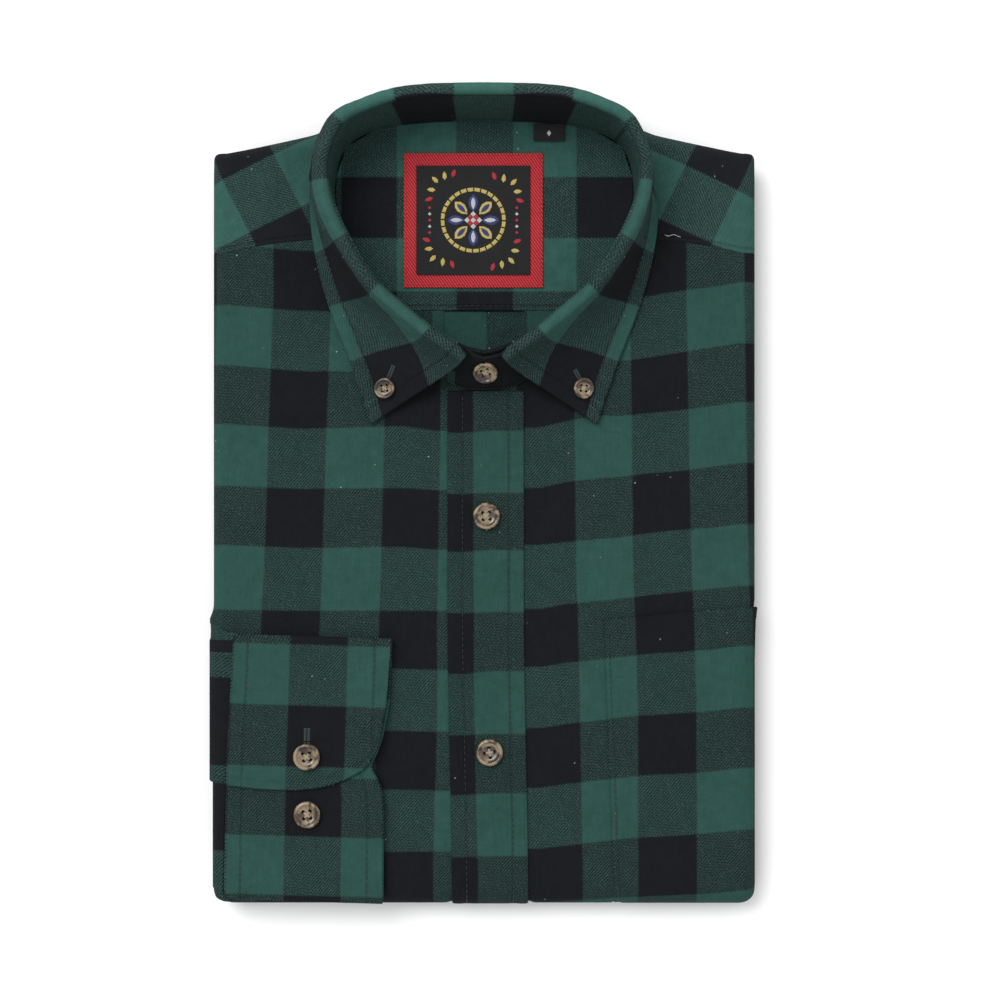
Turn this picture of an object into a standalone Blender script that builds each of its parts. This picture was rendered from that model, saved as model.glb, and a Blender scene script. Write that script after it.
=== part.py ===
"""A button-down check flannel shirt, folded as for a shop shelf and lying on its back.

The fronts run from the shoulder seams down the top face, round the bottom fold and back
along the underside, and roll over both sides. The placket, pocket, cuff and sleeve lie on
them. The collar stands round the open neck, where the inside of the yoke shows.

Lengths are in millimetres until a mesh is made. X runs across the shirt, Y from its bottom
fold to its collar and Z up from the surface it lies on.
"""

from math import cos, pi, radians, sin

import bmesh
import bpy
import numpy as np
from mathutils import Matrix, Vector

MM = 0.001
SHIFT = (0.82, -0.44)    # puts the origin at the middle of the whole outline

# Bundle
HALF_WIDTH = 117.6      # middle to side fold
BOTTOM_Y = -176.2       # bottom fold
TOP_Z = 19.6            # upper face near the side folds
CROWN = 1.0             # how much higher the upper face is in its middle
UPPER_FLOOR = 9.6       # underside of the upper package, the folded body
TAIL_TOP = 6.0          # top of the lower package, the folded-up tail
SIDE_ROLL = 5.5         # how far the side folds bulge out
HEM_Y = 137.0           # hem of the folded-up tail, on the underside
SHOULDER_Y = 149.5      # shoulder line at the side folds
SHOULDER_RISE = 10.0    # how much further the shoulder line is up at the collar
BACK_EDGE = 168.6       # back edge of the yoke, behind the collar
BACK_DROOP = 5.0        # how far the underside of the upper package sags towards it
SEAM_Y = 113.0          # yoke seam at the neck
SEAM_DROP = 7.6         # how much lower it is at the side folds
NECK_DIP = 5.0          # how far the shoulders sink beside the collar

# Cloth
WALL = 1.4              # one ply of brushed flannel with its seam allowances
SMALL_WALL = 1.0        # placket and pocket
GAP = 0.3               # between neighbouring pieces

# Placket
PLACKET_WIDTH = 32.6
PLACKET_X = 0.7         # its middle, which swings out towards the bottom fold
PLACKET_SWING = 1.9
PLACKET_TOP = 46.4

# Pocket
POCKET_X, POCKET_LEAN = 52.0, 4.6       # inner edge at the mouth, and how far it leans by the fold
POCKET_Y, POCKET_RISE = -52.4, 5.2      # mouth at the inner edge, and its rise to the side fold
POCKET_BOTTOM = -187.5                  # measured on the cloth, round the bottom fold
POCKET_PRESS = 1.2      # how far the pocket presses the side fold in

# Cuff and sleeve
CUFF_WALL = 1.8
CUFF_MIDDLE = (-76.4, -116.8)
CUFF_WIDTH, CUFF_HEIGHT = 69.0, 115.2   # along the sleeve, and flat height of the tube
CUFF_TURN = radians(-1.6)
LAP_EDGE = -7.7         # the upper lap's free edge, from the cuff's middle
LAP_CORNER = (27.0, 29.0)               # size of its rounded corner
UNDER_LAP_END = 12.0
SLEEVE_WALL = 2.0
SLEEVE_PRESS = 3.0      # how far the sleeve presses the side fold in
SLEEVE_TOP, SLEEVE_BOTTOM = -50.5, -175.6
SLEEVE_SLIT = -122.7    # the sleeve placket's opening

# Collar
COLLAR_WALL = 1.6
STAND_WALL = 1.8
ROLL = 1.9              # radius of the fold along the top of the collar
SEAM_BELOW_FOLD = 4.6   # the leaf's seam with the stand, inside

# Buttons
FRONT_BUTTON, COLLAR_BUTTON = 11.6, 9.0
BAND_BUTTON = (0.6, 0.64)               # distance from the middle, and share of the stand's height

# Half of the stand, from the middle of the front to the middle of the back:
# distance out, Y and Z of its lower edge, then of its upper edge
STAND = (
    # out    y     z    | out   y      z
    (0.0,   49.2, 21.6,  0.0,  61.4, 38.4),
    (12.0,  50.4, 21.6,  9.0,  63.8, 38.8),
    (26.0,  57.5, 21.4,  20.6, 71.6, 40.4),
    (40.0,  70.0, 20.6,  34.6, 82.8, 41.3),
    (51.0,  84.5, 19.0,  47.0, 94.0, 41.8),
    (59.6, 103.0, 16.6,  57.8, 111.6, 42.3),
    (64.6, 122.0, 14.6,  65.0, 128.0, 42.4),
    (65.6, 139.0, 13.2,  67.0, 140.6, 42.4),
    (60.8, 153.4, 12.6,  63.4, 153.8, 42.2),
    (47.0, 161.6, 12.2,  51.8, 166.4, 42.0),
    (24.0, 164.8, 12.0,  26.4, 171.0, 41.9),
    (0.0,  165.4, 12.0,  0.0,  171.8, 41.9),
)

# Half of the leaf: the inner edge of its fold, its free edge, the height of the free edge
# over the cloth below it (or over the floor past the shoulder line), and the lengths of the
# handles that shape the section at the fold and at the free edge
LEAF = (
    # along  out   y      z    | out   y     over  | fold  edge
    (0.0,    6.9,  61.9, 43.6,  48.6, 32.6,  1.5,   8.0, 24.0),
    (8.0,   12.9,  66.9, 44.6,  51.5, 42.0,  1.4,   9.0, 23.0),
    (22.9,  24.0,  74.4, 45.8,  57.5, 59.3,  1.3,  10.0, 20.0),
    (35.0,  34.8,  83.3, 46.4,  62.4, 71.6,  1.3,   9.0, 16.0),
    (47.9,  44.5,  91.8, 46.8,  66.9, 83.6,  1.4,   8.0, 12.0),
    (60.0,  52.0, 102.0, 47.0,  70.4, 95.0,  1.6,   7.0, 10.0),
    (72.9,  58.0, 112.5, 47.0,  73.0, 106.4, 1.8,   6.0,  8.0),
    (85.0,  63.2, 123.4, 47.0,  74.6, 117.6, 2.0,   5.0,  7.0),
    (97.9,  66.1, 135.7, 47.0,  75.2, 129.6, 2.2,   4.0,  6.0),
    (110.0, 65.2, 147.0, 46.9,  74.4, 141.6, 2.4,   3.0,  5.0),
    (122.9, 59.5, 159.2, 46.8,  71.6, 153.6, 3.0,   3.0,  4.0),
    (135.0, 49.8, 164.8, 46.7,  66.8, 163.4, 13.5,  3.0,  3.0),
    (147.9, 37.3, 168.9, 46.6,  56.0, 171.2, 8.6,   2.5,  3.0),
    (160.0, 25.4, 170.5, 46.5,  40.0, 175.4, 6.6,   2.5,  3.0),
    (172.9, 12.5, 171.0, 46.5,  21.0, 177.2, 5.8,   2.5,  3.0),
    (185.4,  0.0, 171.2, 46.5,   0.0, 177.6, 5.6,   2.5,  3.0),
)
PAST_SHOULDER = 130.0   # from this far along, the free edge's height is over the floor

# Soft folds of the upper face: the line each follows, its half width and its height
FOLDS = (
    # x0     y0     x1     y1   half height
    (-46.0,  28.0, -19.0, -30.0, 9.0, 1.1),
    (-22.0, -66.0, -27.0, -160.0, 7.0, -0.8),
    (30.0,   22.0,  58.0, -30.0, 12.0, 0.9),
    (100.0,  60.0,  84.0, -20.0, 14.0, 0.7),
    (-96.0,  70.0, -84.0,  10.0, 13.0, 0.8),
    (34.0,  -60.0,  30.0, -150.0, 10.0, 0.7),
    (-92.0, 118.0, -76.0, 146.0, 7.0, -0.9),
    (92.0,  118.0,  78.0, 146.0, 7.0, -0.8),
)

COLOURS = {
    "flannel": ((0.030, 0.085, 0.072), 0.92),
    "horn": ((0.30, 0.21, 0.13), 0.25),
    "label_red": ((0.42, 0.03, 0.035), 0.8),
    "label_black": ((0.012, 0.012, 0.014), 0.8),
}


# ---------------------------------------------------------------- small helpers

def clear_scene():
    for obj in list(bpy.data.objects):
        bpy.data.objects.remove(obj)


def ease(value, start, end):
    """0 before start, 1 after end, and smooth between them."""
    t = min(max((value - start) / (end - start), 0.0), 1.0)
    return t * t * (3 - 2 * t)


def unit(vector):
    return vector / np.linalg.norm(vector)


def spaced(start, end, count):
    return list(np.linspace(start, end, count))


def along_table(rows, at):
    """A row read from a table at a fractional row number, on a smooth curve through its rows."""
    rows = np.asarray(rows, float)
    last = len(rows) - 1
    i = int(min(max(at, 0), last - 1e-9))
    t = at - i
    p0, p1 = rows[max(i - 1, 0)], rows[i]
    p2, p3 = rows[i + 1], rows[min(i + 2, last)]
    return 0.5 * (2 * p1 + (p2 - p0) * t + (2 * p0 - 5 * p1 + 4 * p2 - p3) * t ** 2
                  + (3 * p1 - p0 - 3 * p2 + p3) * t ** 3)


def material(name):
    found = bpy.data.materials.get(name)
    if found:
        return found
    colour, roughness = COLOURS[name]
    made = bpy.data.materials.new(name)
    made.use_nodes = True
    shader = made.node_tree.nodes["Principled BSDF"]
    shader.inputs["Base Color"].default_value = (*colour, 1.0)
    shader.inputs["Roughness"].default_value = roughness
    shader.inputs["Metallic"].default_value = 0.0
    return made


def add_object(name, points, faces, material_name, angle=40.0):
    mesh = bpy.data.meshes.new(name)
    placed = [((x + SHIFT[0]) * MM, (y + SHIFT[1]) * MM, z * MM) for x, y, z in points]
    mesh.from_pydata(placed, [], faces)
    mesh.validate()
    obj = bpy.data.objects.new(name, mesh)
    bpy.context.scene.collection.objects.link(obj)
    obj.data.materials.append(material(material_name))
    mesh.shade_smooth()
    mesh.set_sharp_from_angle(angle=radians(angle))
    return obj


def cloth(name, grid, wall, material_name="flannel", offset=-1.0, even=True):
    """A wall of cloth: grid is rows of points on its outer face, and Solidify gives the thickness."""
    rows, columns = len(grid), len(grid[0])
    points = [tuple(p) for row in grid for p in row]
    faces = [(r * columns + c, r * columns + c + 1, (r + 1) * columns + c + 1, (r + 1) * columns + c)
             for r in range(rows - 1) for c in range(columns - 1)]
    obj = add_object(name, points, faces, material_name)
    solid = obj.modifiers.new("Wall", "SOLIDIFY")
    solid.thickness = wall * MM
    solid.offset = offset
    solid.use_even_offset = even
    return obj


# ---------------------------------------------------------------- the folded body's outer face

def fold_relief(x, y):
    """Height that the soft folds add at a point of the upper face."""
    total = 0.0
    for x0, y0, x1, y1, half, height in FOLDS:
        start, run = np.array((x0, y0)), np.array((x1 - x0, y1 - y0))
        t = float(np.clip((np.array((x, y)) - start) @ run / (run @ run), 0, 1))
        away = np.linalg.norm(np.array((x, y)) - start - run * t)
        total += height * sin(pi * min(max(t, 0.15), 0.85)) * np.exp(-(away / half) ** 2)
    return total


def upper_height(x, y):
    """Z of the upper face: a low crown, sunk beside and behind the collar, with its soft folds."""
    crown = CROWN * max(0.0, 1 - (x / HALF_WIDTH) ** 2) * ease(y, BOTTOM_Y, BOTTOM_Y + 60)
    dip = NECK_DIP * ease(y, 66, 128) * (1 - ease(abs(x), 60, 98))
    dip += 3.4 * ease(y, 126, 158) * (1 - ease(abs(x), 44, 70))
    fade = ease(y, BOTTOM_Y + 10, BOTTOM_Y + 40) * ease(HALF_WIDTH - abs(x), 4, 24)
    return TOP_Z + crown - dip + fade * fold_relief(x, y)


def package_floor(y):
    """Z of the upper package's underside, which sags past the end of the tail."""
    return UPPER_FLOOR - BACK_DROOP * ease(y, HEM_Y, 156)


def shoulder_line(x):
    """Y of the shoulder line, and of the yoke's back edge where the neck interrupts it."""
    rising = SHOULDER_Y + SHOULDER_RISE * (max(HALF_WIDTH - abs(x), 0) / 46.5) ** 1.2
    return rising + (BACK_EDGE - rising) * (1 - ease(abs(x), 40, 76))


def yoke_seam(x):
    return SEAM_Y - SEAM_DROP * (max(abs(x) - 62, 0) / 55.0) ** 2


def side_start(side, y):
    """Distance out at which the side fold starts to roll; the sleeve and the pocket press it in."""
    top, press = (SLEEVE_TOP, SLEEVE_PRESS) if side < 0 else (POCKET_Y + POCKET_RISE, POCKET_PRESS)
    return HALF_WIDTH - SIDE_ROLL - press * (1 - ease(y, top - 8, top + 5))


BOTTOM_RADIUS = TOP_Z / 2
TURN_START = BOTTOM_Y + BOTTOM_RADIUS   # Y at which the bottom fold starts
TURN_ARC = pi * BOTTOM_RADIUS           # cloth that goes round it


def bottom_turn(b):
    """Y, Z and outward normal of the bottom fold where the cloth's own length coordinate is b."""
    arc = max(TURN_START - b, 0.0)
    angle = min(arc / BOTTOM_RADIUS, pi)
    y = max(b, TURN_START) if arc == 0 else TURN_START - BOTTOM_RADIUS * sin(angle)
    y += max(arc - TURN_ARC, 0.0)
    return y, TOP_Z - BOTTOM_RADIUS * (1 - cos(angle)), -sin(angle), cos(angle)


def front_point(side, out, b):
    """A point of the fronts' outer face. out is the distance from the middle and b the place
    along the shirt, both measured on the cloth, so they run on round the folds."""
    y, z, normal_y, normal_z = bottom_turn(b)
    turned = min(max(TURN_START - b, 0.0) / TURN_ARC, 1.0)
    upper_roll = (TOP_Z - UPPER_FLOOR) / 2
    depth_radius = upper_roll + (TAIL_TOP / 2 - upper_roll) * ease(turned, 0, 1)
    start = side_start(side, y if turned < 0.5 else BOTTOM_Y)
    if turned >= 1:
        start = side_start(side, BOTTOM_Y)
    angle = min(max(out - start, 0.0) / SIDE_ROLL, pi)
    tucked = max(out - start - pi * SIDE_ROLL, 0.0)
    x = min(out, start) + SIDE_ROLL * sin(angle) - tucked
    depth = depth_radius * (1 - cos(angle))
    raised = (upper_height(side * min(out, start), y) - TOP_Z) * (1 - ease(turned, 0, 0.5))
    raised *= (1 + cos(angle)) / 2
    return np.array((side * x, y - normal_y * depth, z - normal_z * depth + raised))


def front_normal(side, out, b):
    step = 0.2
    across = front_point(side, out + step, b) - front_point(side, out - step, b)
    along = front_point(side, out, b + step) - front_point(side, out, b - step)
    return unit(np.cross(across, along) * side)


def front_lifted(side, out, b, lift):
    return front_point(side, out, b) + front_normal(side, out, b) * lift


def yoke_point(side, out, b):
    """A point of the shoulders' outer face, past the yoke seam and over the shoulder line."""
    start = side_start(side, b)
    over_side = max(out - start, 0.0)
    x = min(out, start)
    over_top = max(b - (shoulder_line(x) - SIDE_ROLL), 0.0)
    y = min(b, shoulder_line(x) - SIDE_ROLL)
    power = 4.0
    size = (over_side ** power + over_top ** power) ** (1 / power)
    angle = min(size / SIDE_ROLL, pi)
    reach = SIDE_ROLL * sin(angle) / max(size, 1e-9)
    under = max(size - SIDE_ROLL * pi, 0.0) / max(size, 1e-9)
    top, floor = upper_height(side * x, y), package_floor(y)
    z = top - (top - floor) / 2 * (1 - cos(angle))
    return np.array((side * (x + (reach - under) * over_side), y + (reach - under) * over_top, z))


# ---------------------------------------------------------------- body panels

ROLL_STEPS = [SIDE_ROLL * pi * share for share in (0.17, 0.34, 0.5, 0.66, 0.83, 1.0)]
TUCK = 9.0              # how far the side folds go in between the packages


def neck_out(y):
    """Distance out of the fronts' neck edge: under the stand in front, outside it at the sides."""
    rows = [row for row in STAND if row[1] <= 140]
    clear = -1.0 + 3.2 * ease(y, 52, 74)
    return float(np.interp(y, [r[1] for r in rows], [r[0] for r in rows])) + clear


def placket_middle(b):
    return PLACKET_X + PLACKET_SWING * (1 - ease(b, BOTTOM_Y, -45))


def front_inner_edge(side, b):
    """Where a front starts: under the placket on top, beside it on the underside."""
    turned = max(TURN_START - b, 0.0) / TURN_ARC
    if turned > 0:
        beside = side * placket_middle(BOTTOM_Y) + PLACKET_WIDTH / 2 + GAP
        under = side * placket_middle(b) + GAP / 2 + 0.1
        return under + (beside - under) * ease(turned, 0, 0.55)
    if b > PLACKET_TOP + 3:
        return neck_out(b)
    return side * placket_middle(b) + GAP / 2 + 0.1


def make_front(name, side):
    flat_rows = spaced(PLACKET_TOP - 2, TURN_START, 13)
    neck_rows = [49.4, 50.8, 54.0, 60.0, 68.0, 78.0, 90.0, 101.0]
    turn_rows = [TURN_START - TURN_ARC * k / 8 for k in range(1, 9)]
    tail_rows = spaced(TURN_START - TURN_ARC - 12, TURN_START - TURN_ARC - (HEM_Y - TURN_START), 4)
    rows = [1.0] + list(reversed(neck_rows)) + flat_rows + turn_rows + tail_rows
    grid = []
    for number, b in enumerate(rows):
        at_seam = number == 0
        inner = neck_out(SEAM_Y) if at_seam else front_inner_edge(side, b)
        start = side_start(side, BOTTOM_Y if b < TURN_START else b)
        outs = spaced(inner, start, 8) + [start + step for step in ROLL_STEPS]
        turned = min(max(TURN_START - b, 0.0) / TURN_ARC, 1.0)
        open_turn = sin(pi * turned)
        outs.append(outs[-1] + TUCK * (1 - open_turn) + 0.5)
        line = []
        for out in outs:
            if open_turn > 0.02:
                out = min(out, start + SIDE_ROLL * pi * (1 - 0.36 * open_turn) + out * 0.002)
            place = yoke_seam(min(out, start)) - GAP if at_seam else b
            line.append(front_point(side, out, place))
        grid.append(line)
    if side > 0:
        grid = [row[::-1] for row in grid]
    return cloth(name, grid, WALL)


# The yoke's front edge from the side fold to the middle of the back: along the yoke seam,
# then round the neck just outside the stand; and where each line from it meets the shoulder
YOKE_LINES = (
    # out    y      | out at the shoulder line
    (112.1, None,    112.1), (104.0, None,    104.0), (94.0, None,     94.0),
    (84.0,  None,     85.0), (74.0,  None,     77.5), (64.8, None,     72.0),
    (67.6,  124.0,    70.0), (68.3,  136.0,    68.0), (66.0, 148.4,    64.0),
    (59.0,  158.2,    57.0), (47.0,  164.6,    46.0), (33.0, 166.6,    32.0),
    (16.0,  167.6,    16.0), (0.0,   167.9,     0.0),
)


def make_yoke_outer():
    """The outer yoke: both shoulders and the strip that joins them behind the collar."""
    half = [(out, yoke_seam(out) if y is None else y, top, 0.0) for out, y, top in YOKE_LINES]
    half = [half[0][:3] + (step,) for step in ROLL_STEPS[4::-1]] + half
    columns = [(-1, row) for row in half] + [(1, row) for row in half[::-1][1:]]
    grid = []
    for share in (0.0, 0.33, 0.67, 1.0, 1.17, 1.34, 1.5, 1.67, 1.83, 2.0, 2.3):
        line = []
        for side, (out, seam, top_out, over) in columns:
            top = shoulder_line(top_out) - SIDE_ROLL
            if seam > top:      # behind the neck the edge is already on the roll
                b = seam + (top + 1.3 * SIDE_ROLL * pi - seam) * share / 2.3
            else:
                b = seam + (top - seam) * min(share, 1) + max(share - 1, 0) * SIDE_ROLL * pi
            x = out + (top_out - out) * min(share, 1)
            line.append(yoke_point(side, x + over, b))
        grid.append(line)
    return cloth("yoke_outer", grid, WALL, even=False)


def make_placket():
    rows = spaced(PLACKET_TOP, TURN_START, 13)
    rows += [TURN_START - TURN_ARC * k / 8 for k in range(1, 9)]
    rows += spaced(TURN_START - TURN_ARC - 40, TURN_START - TURN_ARC - (HEM_Y - TURN_START), 4)
    grid = []
    for b in rows:
        turned = min(max(TURN_START - b, 0.0) / TURN_ARC, 1.0)
        lift = (GAP + SMALL_WALL) * (1 - ease(turned, 0.6, 1.0))
        middle = placket_middle(b if turned == 0 else BOTTOM_Y)
        line = []
        for share in (-0.5, -0.25, 0.0, 0.25, 0.5):
            x = middle + PLACKET_WIDTH * share
            line.append(front_lifted(1, x, b, lift))
        grid.append(line[::-1])
    return cloth("placket", grid, SMALL_WALL)


def make_pocket():
    """The chest pocket runs over the side fold and round the bottom fold."""
    turn = (TURN_START - POCKET_BOTTOM) / TURN_ARC * 8
    shares = spaced(0, 1, 9) + [1 + 0.8 * min(k / turn, 1) for k in range(1, int(turn) + 2)]
    grid = []
    for share in shares:
        line = []
        for column in spaced(0, 1, 6) + [1.17, 1.34, 1.5, 1.66]:
            start = side_start(1, BOTTOM_Y)
            rise = POCKET_RISE * min(column, 1)
            b = POCKET_Y + rise + (TURN_START - POCKET_Y - rise) * min(share, 1)
            b += (POCKET_BOTTOM - TURN_START) * max(share - 1, 0) / 0.8
            inner = POCKET_X + POCKET_LEAN * min(share, 1)
            out = inner + (start - inner) * min(column, 1) + max(column - 1, 0) * SIDE_ROLL * pi
            line.append(front_lifted(1, out, b, GAP + SMALL_WALL))
        grid.append(line[::-1])
    return cloth("pocket", grid, SMALL_WALL)


# ---------------------------------------------------------------- the neck's inside

INSIDE_Z = 11.2         # the inside of the back, seen through the neck
YOKE_INNER_Y = 82.4     # lower seam of the inner yoke
PLEAT = (0.9, 17.0)     # height and half width of the box pleat in the back


def inside_height(x, y):
    """The inside of the back: a shallow bowl that rises to the stand."""
    half = float(np.interp(y, [40, 60, 84, 103, 122, 139, 153, 165],
                           [58, 62, 64, 65, 65, 65, 60, 40]))
    rim = min(abs(x) / half, 1.0) ** 4 * (1.2 - 1.0 * ease(y, 118, 140))
    back = 0.3 * ease(y, 140, 164)
    return INSIDE_Z + rim + back - 0.7 * (1 - ease(y, 45, 85))


def make_yoke_inner():
    """It narrows towards the back of the neck, whose edge it follows just under the stand."""
    back = sorted((row[1], row[0]) for row in STAND if row[1] >= 122)
    grid = []
    for y in spaced(YOKE_INNER_Y, 149.0, 7) + [153.4, 157.5, 161.6, 163.6, 165.0]:
        half = min(float(np.interp(y, [b[0] for b in back], [b[1] for b in back])) - 0.6, 64.6)
        grid.append([np.array((x, y, inside_height(x, y))) for x in spaced(-half, half, 11)])
    return cloth("yoke_inner", grid, WALL)


def make_back():
    """The inside of the back below the yoke, with the edges of its box pleat."""
    height, half = PLEAT
    grid = []
    for y in spaced(44.0, YOKE_INNER_Y - GAP, 4):
        line = []
        reach = 42.0 + 14.0 * ease(y, 44, 72)
        for x in (-reach, -30, -half - 1, -half, -8, 0, 8, half, half + 1, 30, reach):
            step = height if abs(x) > half else 0.0
            line.append(np.array((x, y, inside_height(x, y) - 0.9 + step)))
        grid.append(line)
    return cloth("back", grid, WALL)


# ---------------------------------------------------------------- folded layers inside

CORE_RINGS = (
    # inset   z       the bulging edges of the folded layers, from the floor up
    (9.0, 1.8), (6.0, 2.6), (6.0, 3.4), (9.0, 4.1),
    (18.4, 4.3), (18.4, 6.4), (10.0, 6.8), (8.4, 7.8), (10.0, 8.8), (18.4, 9.2),
    (18.4, 11.3), (8.0, 11.7), (4.2, 13.2), (6.0, 14.3), (4.2, 15.4), (8.0, 17.2),
)
LOWER_RINGS = 10        # rings up to the upper package's floor, which end at the tail's hem
NECK_HOLLOW = (0.0, 97.0, 69.5, 60.0, 40.0)  # middle X and Y, half width, reach down and up
HOLLOW_Z = 8.0


def core_outline(inset, z, lower):
    """One ring of layer edges: straight sides, the sloping shoulders and the neck's back."""
    half, low = HALF_WIDTH - inset, BOTTOM_Y + max(inset, 7.0) + 1.6
    top = HEM_Y - 1.0 if lower else shoulder_line(half) - max(inset, 7.0) - 1.0
    points = [(x, low) for x in spaced(-half, half, 11)[:-1]]
    points += [(half, y) for y in spaced(low, top, 14)[:-1]]
    for x in spaced(half, -half, 15)[:-1]:
        over = 0.0 if lower else min(shoulder_line(x), 161.0) - shoulder_line(half)
        points.append((x, top + max(over, 0.0)))
    points += [(-half, y) for y in spaced(top, low, 14)[:-1]]
    ring = []
    for x, y in points:
        corner = max(0.0, 19.0 - (half - abs(x)) - (y - low))
        x -= np.sign(x) * corner / 2
        y += corner / 2
        if x < 20 - half:
            pressed = SLEEVE_PRESS + (8.0 if 6.5 < z < 9.1 else 0.0)
            x += pressed * (1 - ease(y, SLEEVE_TOP - 6, SLEEVE_TOP + 10))
        elif x > half - 20:
            x -= POCKET_PRESS * (1 - ease(y, POCKET_Y, POCKET_Y + 12))
        ring.append((x, y, z if lower else sagged(x, y, z)))
    return ring


def sagged(x, y, z):
    """The layers between the upper package's two faces follow both of them at the back."""
    share = (z - UPPER_FLOOR) / (TOP_Z - UPPER_FLOOR)
    floor = package_floor(y)
    top = core_top(x, y) + 1.6
    back = floor + (top - floor) * share if share > 0 else floor + z - UPPER_FLOOR
    return z + (back - z) * ease(y, 112, 130)


def hollow_outline(ring, scale, z):
    """The neck's hollow as a loop of points in the same directions as a ring's points."""
    middle_x, middle_y, half, down, up = NECK_HOLLOW
    loop = []
    for x, y, _ in ring:
        dx, dy = (x - middle_x) / half, (y - middle_y) / (up if y > middle_y else down)
        size = (abs(dx) ** 3 + abs(dy) ** 3) ** (1 / 3) / scale
        x = middle_x + dx / size * half
        y = middle_y + dy / size * (up if dy > 0 else down)
        loop.append((x, y, core_top(x, y) if z is None else z))
    return loop


def core_top(x, y):
    top = upper_height(x, y) - WALL - 0.8 - 0.6 * ease(y, 118, 140)
    return top + (HOLLOW_Z - top) * ease(y, 112, 128) * (1 - ease(abs(x), 70, 78))


def make_core():
    """The hidden layers as one solid: ring on ring of layer edges, and a hollow under the neck."""
    loops = [core_outline(inset, z, number < LOWER_RINGS)
             for number, (inset, z) in enumerate(CORE_RINGS)]
    rim = [(x * 0.96, y - 4.0 * np.sign(y), core_top(x * 0.96, y - 4.0 * np.sign(y)))
           for x, y, _ in core_outline(10.0, 17.2, False)]
    edge = hollow_outline(rim, 1.0, None)
    between = [tuple(0.5 * (np.array(a) + np.array(b))) for a, b in zip(rim, edge)]
    between = [(x, y, core_top(x, y)) for x, y, _ in between]
    loops += [rim, between, edge, hollow_outline(rim, 0.985, HOLLOW_Z)]
    count = len(loops[0])
    points = [p for loop in loops for p in loop]
    faces = [tuple(range(count))[::-1]]
    for ring in range(len(loops) - 1):
        for i in range(count):
            a, b = ring * count + i, ring * count + (i + 1) % count
            faces.append((a, b, b + count, a + count))
    faces.append(tuple(range((len(loops) - 1) * count, len(loops) * count)))
    return add_object("folded_layers", points, faces, "flannel")


# ---------------------------------------------------------------- collar

def stand_point(at, share, side, spread):
    """A point of the stand's middle surface. spread moves an end out or in where they overlap."""
    low_out, low_y, low_z, top_out, top_y, top_z = along_table(STAND, at)
    low, top = np.array((low_out, low_y, low_z)), np.array((top_out, top_y, top_z))
    point = low + (top - low) * share
    point[1] -= spread * (1 - ease(at, 0.6, 2.6))
    return np.array((side * point[0], point[1], point[2]))


def make_stand():
    """One band round the neck. Its left end laps over its right end in front."""
    ends = 1.35         # rows of STAND by which each end passes the middle
    ring = [(-1, at, 1.35) for at in reversed(spaced(0.0, ends, 4)[1:])]
    ring += [(1, at, 1.35) for at in spaced(0.0, 11.0, 27)]
    ring += [(-1, at, -1.35) for at in reversed(spaced(0.0, 11.0, 27)[:-1])]
    ring += [(1, at, -1.35) for at in spaced(0.0, ends, 4)[1:]]
    grid = []
    for share in (0.0, 0.33, 0.67, 1.0):
        line = []
        for number, (side, at, spread) in enumerate(ring):
            line.append(stand_point(at, share, side, spread))
        grid.append(line)
    # the lapped end is rounded
    for row, share in enumerate((0.0, 0.33, 0.67, 1.0)):
        pull = 4.5 * abs(2 * share - 1) ** 3
        grid[row][0][0] += pull if share > 0.5 else pull * 0.3
    return cloth("collar_stand", grid, STAND_WALL, "flannel", offset=0.0)


def leaf_row(at):
    row = along_table([r[1:] for r in LEAF], at)
    before = along_table([r[1:] for r in LEAF], max(at - 0.05, 0))
    after = along_table([r[1:] for r in LEAF], min(at + 0.05, len(LEAF) - 1))
    run = unit(np.array((after[0] - before[0], after[1] - before[1])))
    outward = np.array((run[1], -run[0], 0.0))
    if at >= len(LEAF) - 1:
        outward = np.array((0.0, 1.0, 0.0))
    return row, outward


def leaf_section(at, side):
    """The section of the leaf's middle surface from its seam inside, over the fold, to its edge."""
    (out, y, z, edge_out, edge_y, over, fold_handle, edge_handle), outward = leaf_row(at)
    along = float(np.interp(at, range(len(LEAF)), [r[0] for r in LEAF]))
    floor = ease(along, PAST_SHOULDER - 7, PAST_SHOULDER + 5)
    surface = upper_height(edge_out, min(edge_y, 150.0))
    edge_z = over + (surface + COLLAR_WALL / 2) * (1 - floor)
    inner = np.array((out, y, 0.0)) + outward * COLLAR_WALL / 2
    centre = inner + outward * ROLL
    centre[2] = z - ROLL
    points = [inner + np.array((0, 0, z - SEAM_BELOW_FOLD + GAP)), inner + np.array((0, 0, z - ROLL))]
    for angle in (45, 90, 135):
        turn = radians(angle)
        points.append(centre - outward * ROLL * cos(turn) + np.array((0, 0, ROLL * sin(turn))))
    start = centre + outward * ROLL
    edge = np.array((edge_out, edge_y, edge_z))
    back = edge - np.array((out, y, edge_z))
    back = unit(back) * edge_handle
    handle_a = start + np.array((0, 0, -fold_handle)) + outward * fold_handle * 0.25
    handle_b = edge - back + np.array((0, 0, 0.4 * (1 - floor) + 8.0 * floor))
    for t in (0.0, 0.12, 0.25, 0.38, 0.52, 0.66, 0.8, 0.9, 1.0):
        points.append((1 - t) ** 3 * start + 3 * (1 - t) ** 2 * t * handle_a
                      + 3 * (1 - t) * t ** 2 * handle_b + t ** 3 * edge)
    return [np.array((side * p[0], p[1], p[2])) for p in points]


def make_leaf():
    last = len(LEAF) - 1
    half = spaced(0, last, 24)
    sections = [leaf_section(at, -1) for at in half] + [leaf_section(at, 1) for at in half[::-1][1:]]
    grid = [list(column) for column in zip(*sections)]
    return cloth("collar_leaf", grid, COLLAR_WALL, "flannel", offset=0.0)


# ---------------------------------------------------------------- cuff and sleeve

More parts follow.
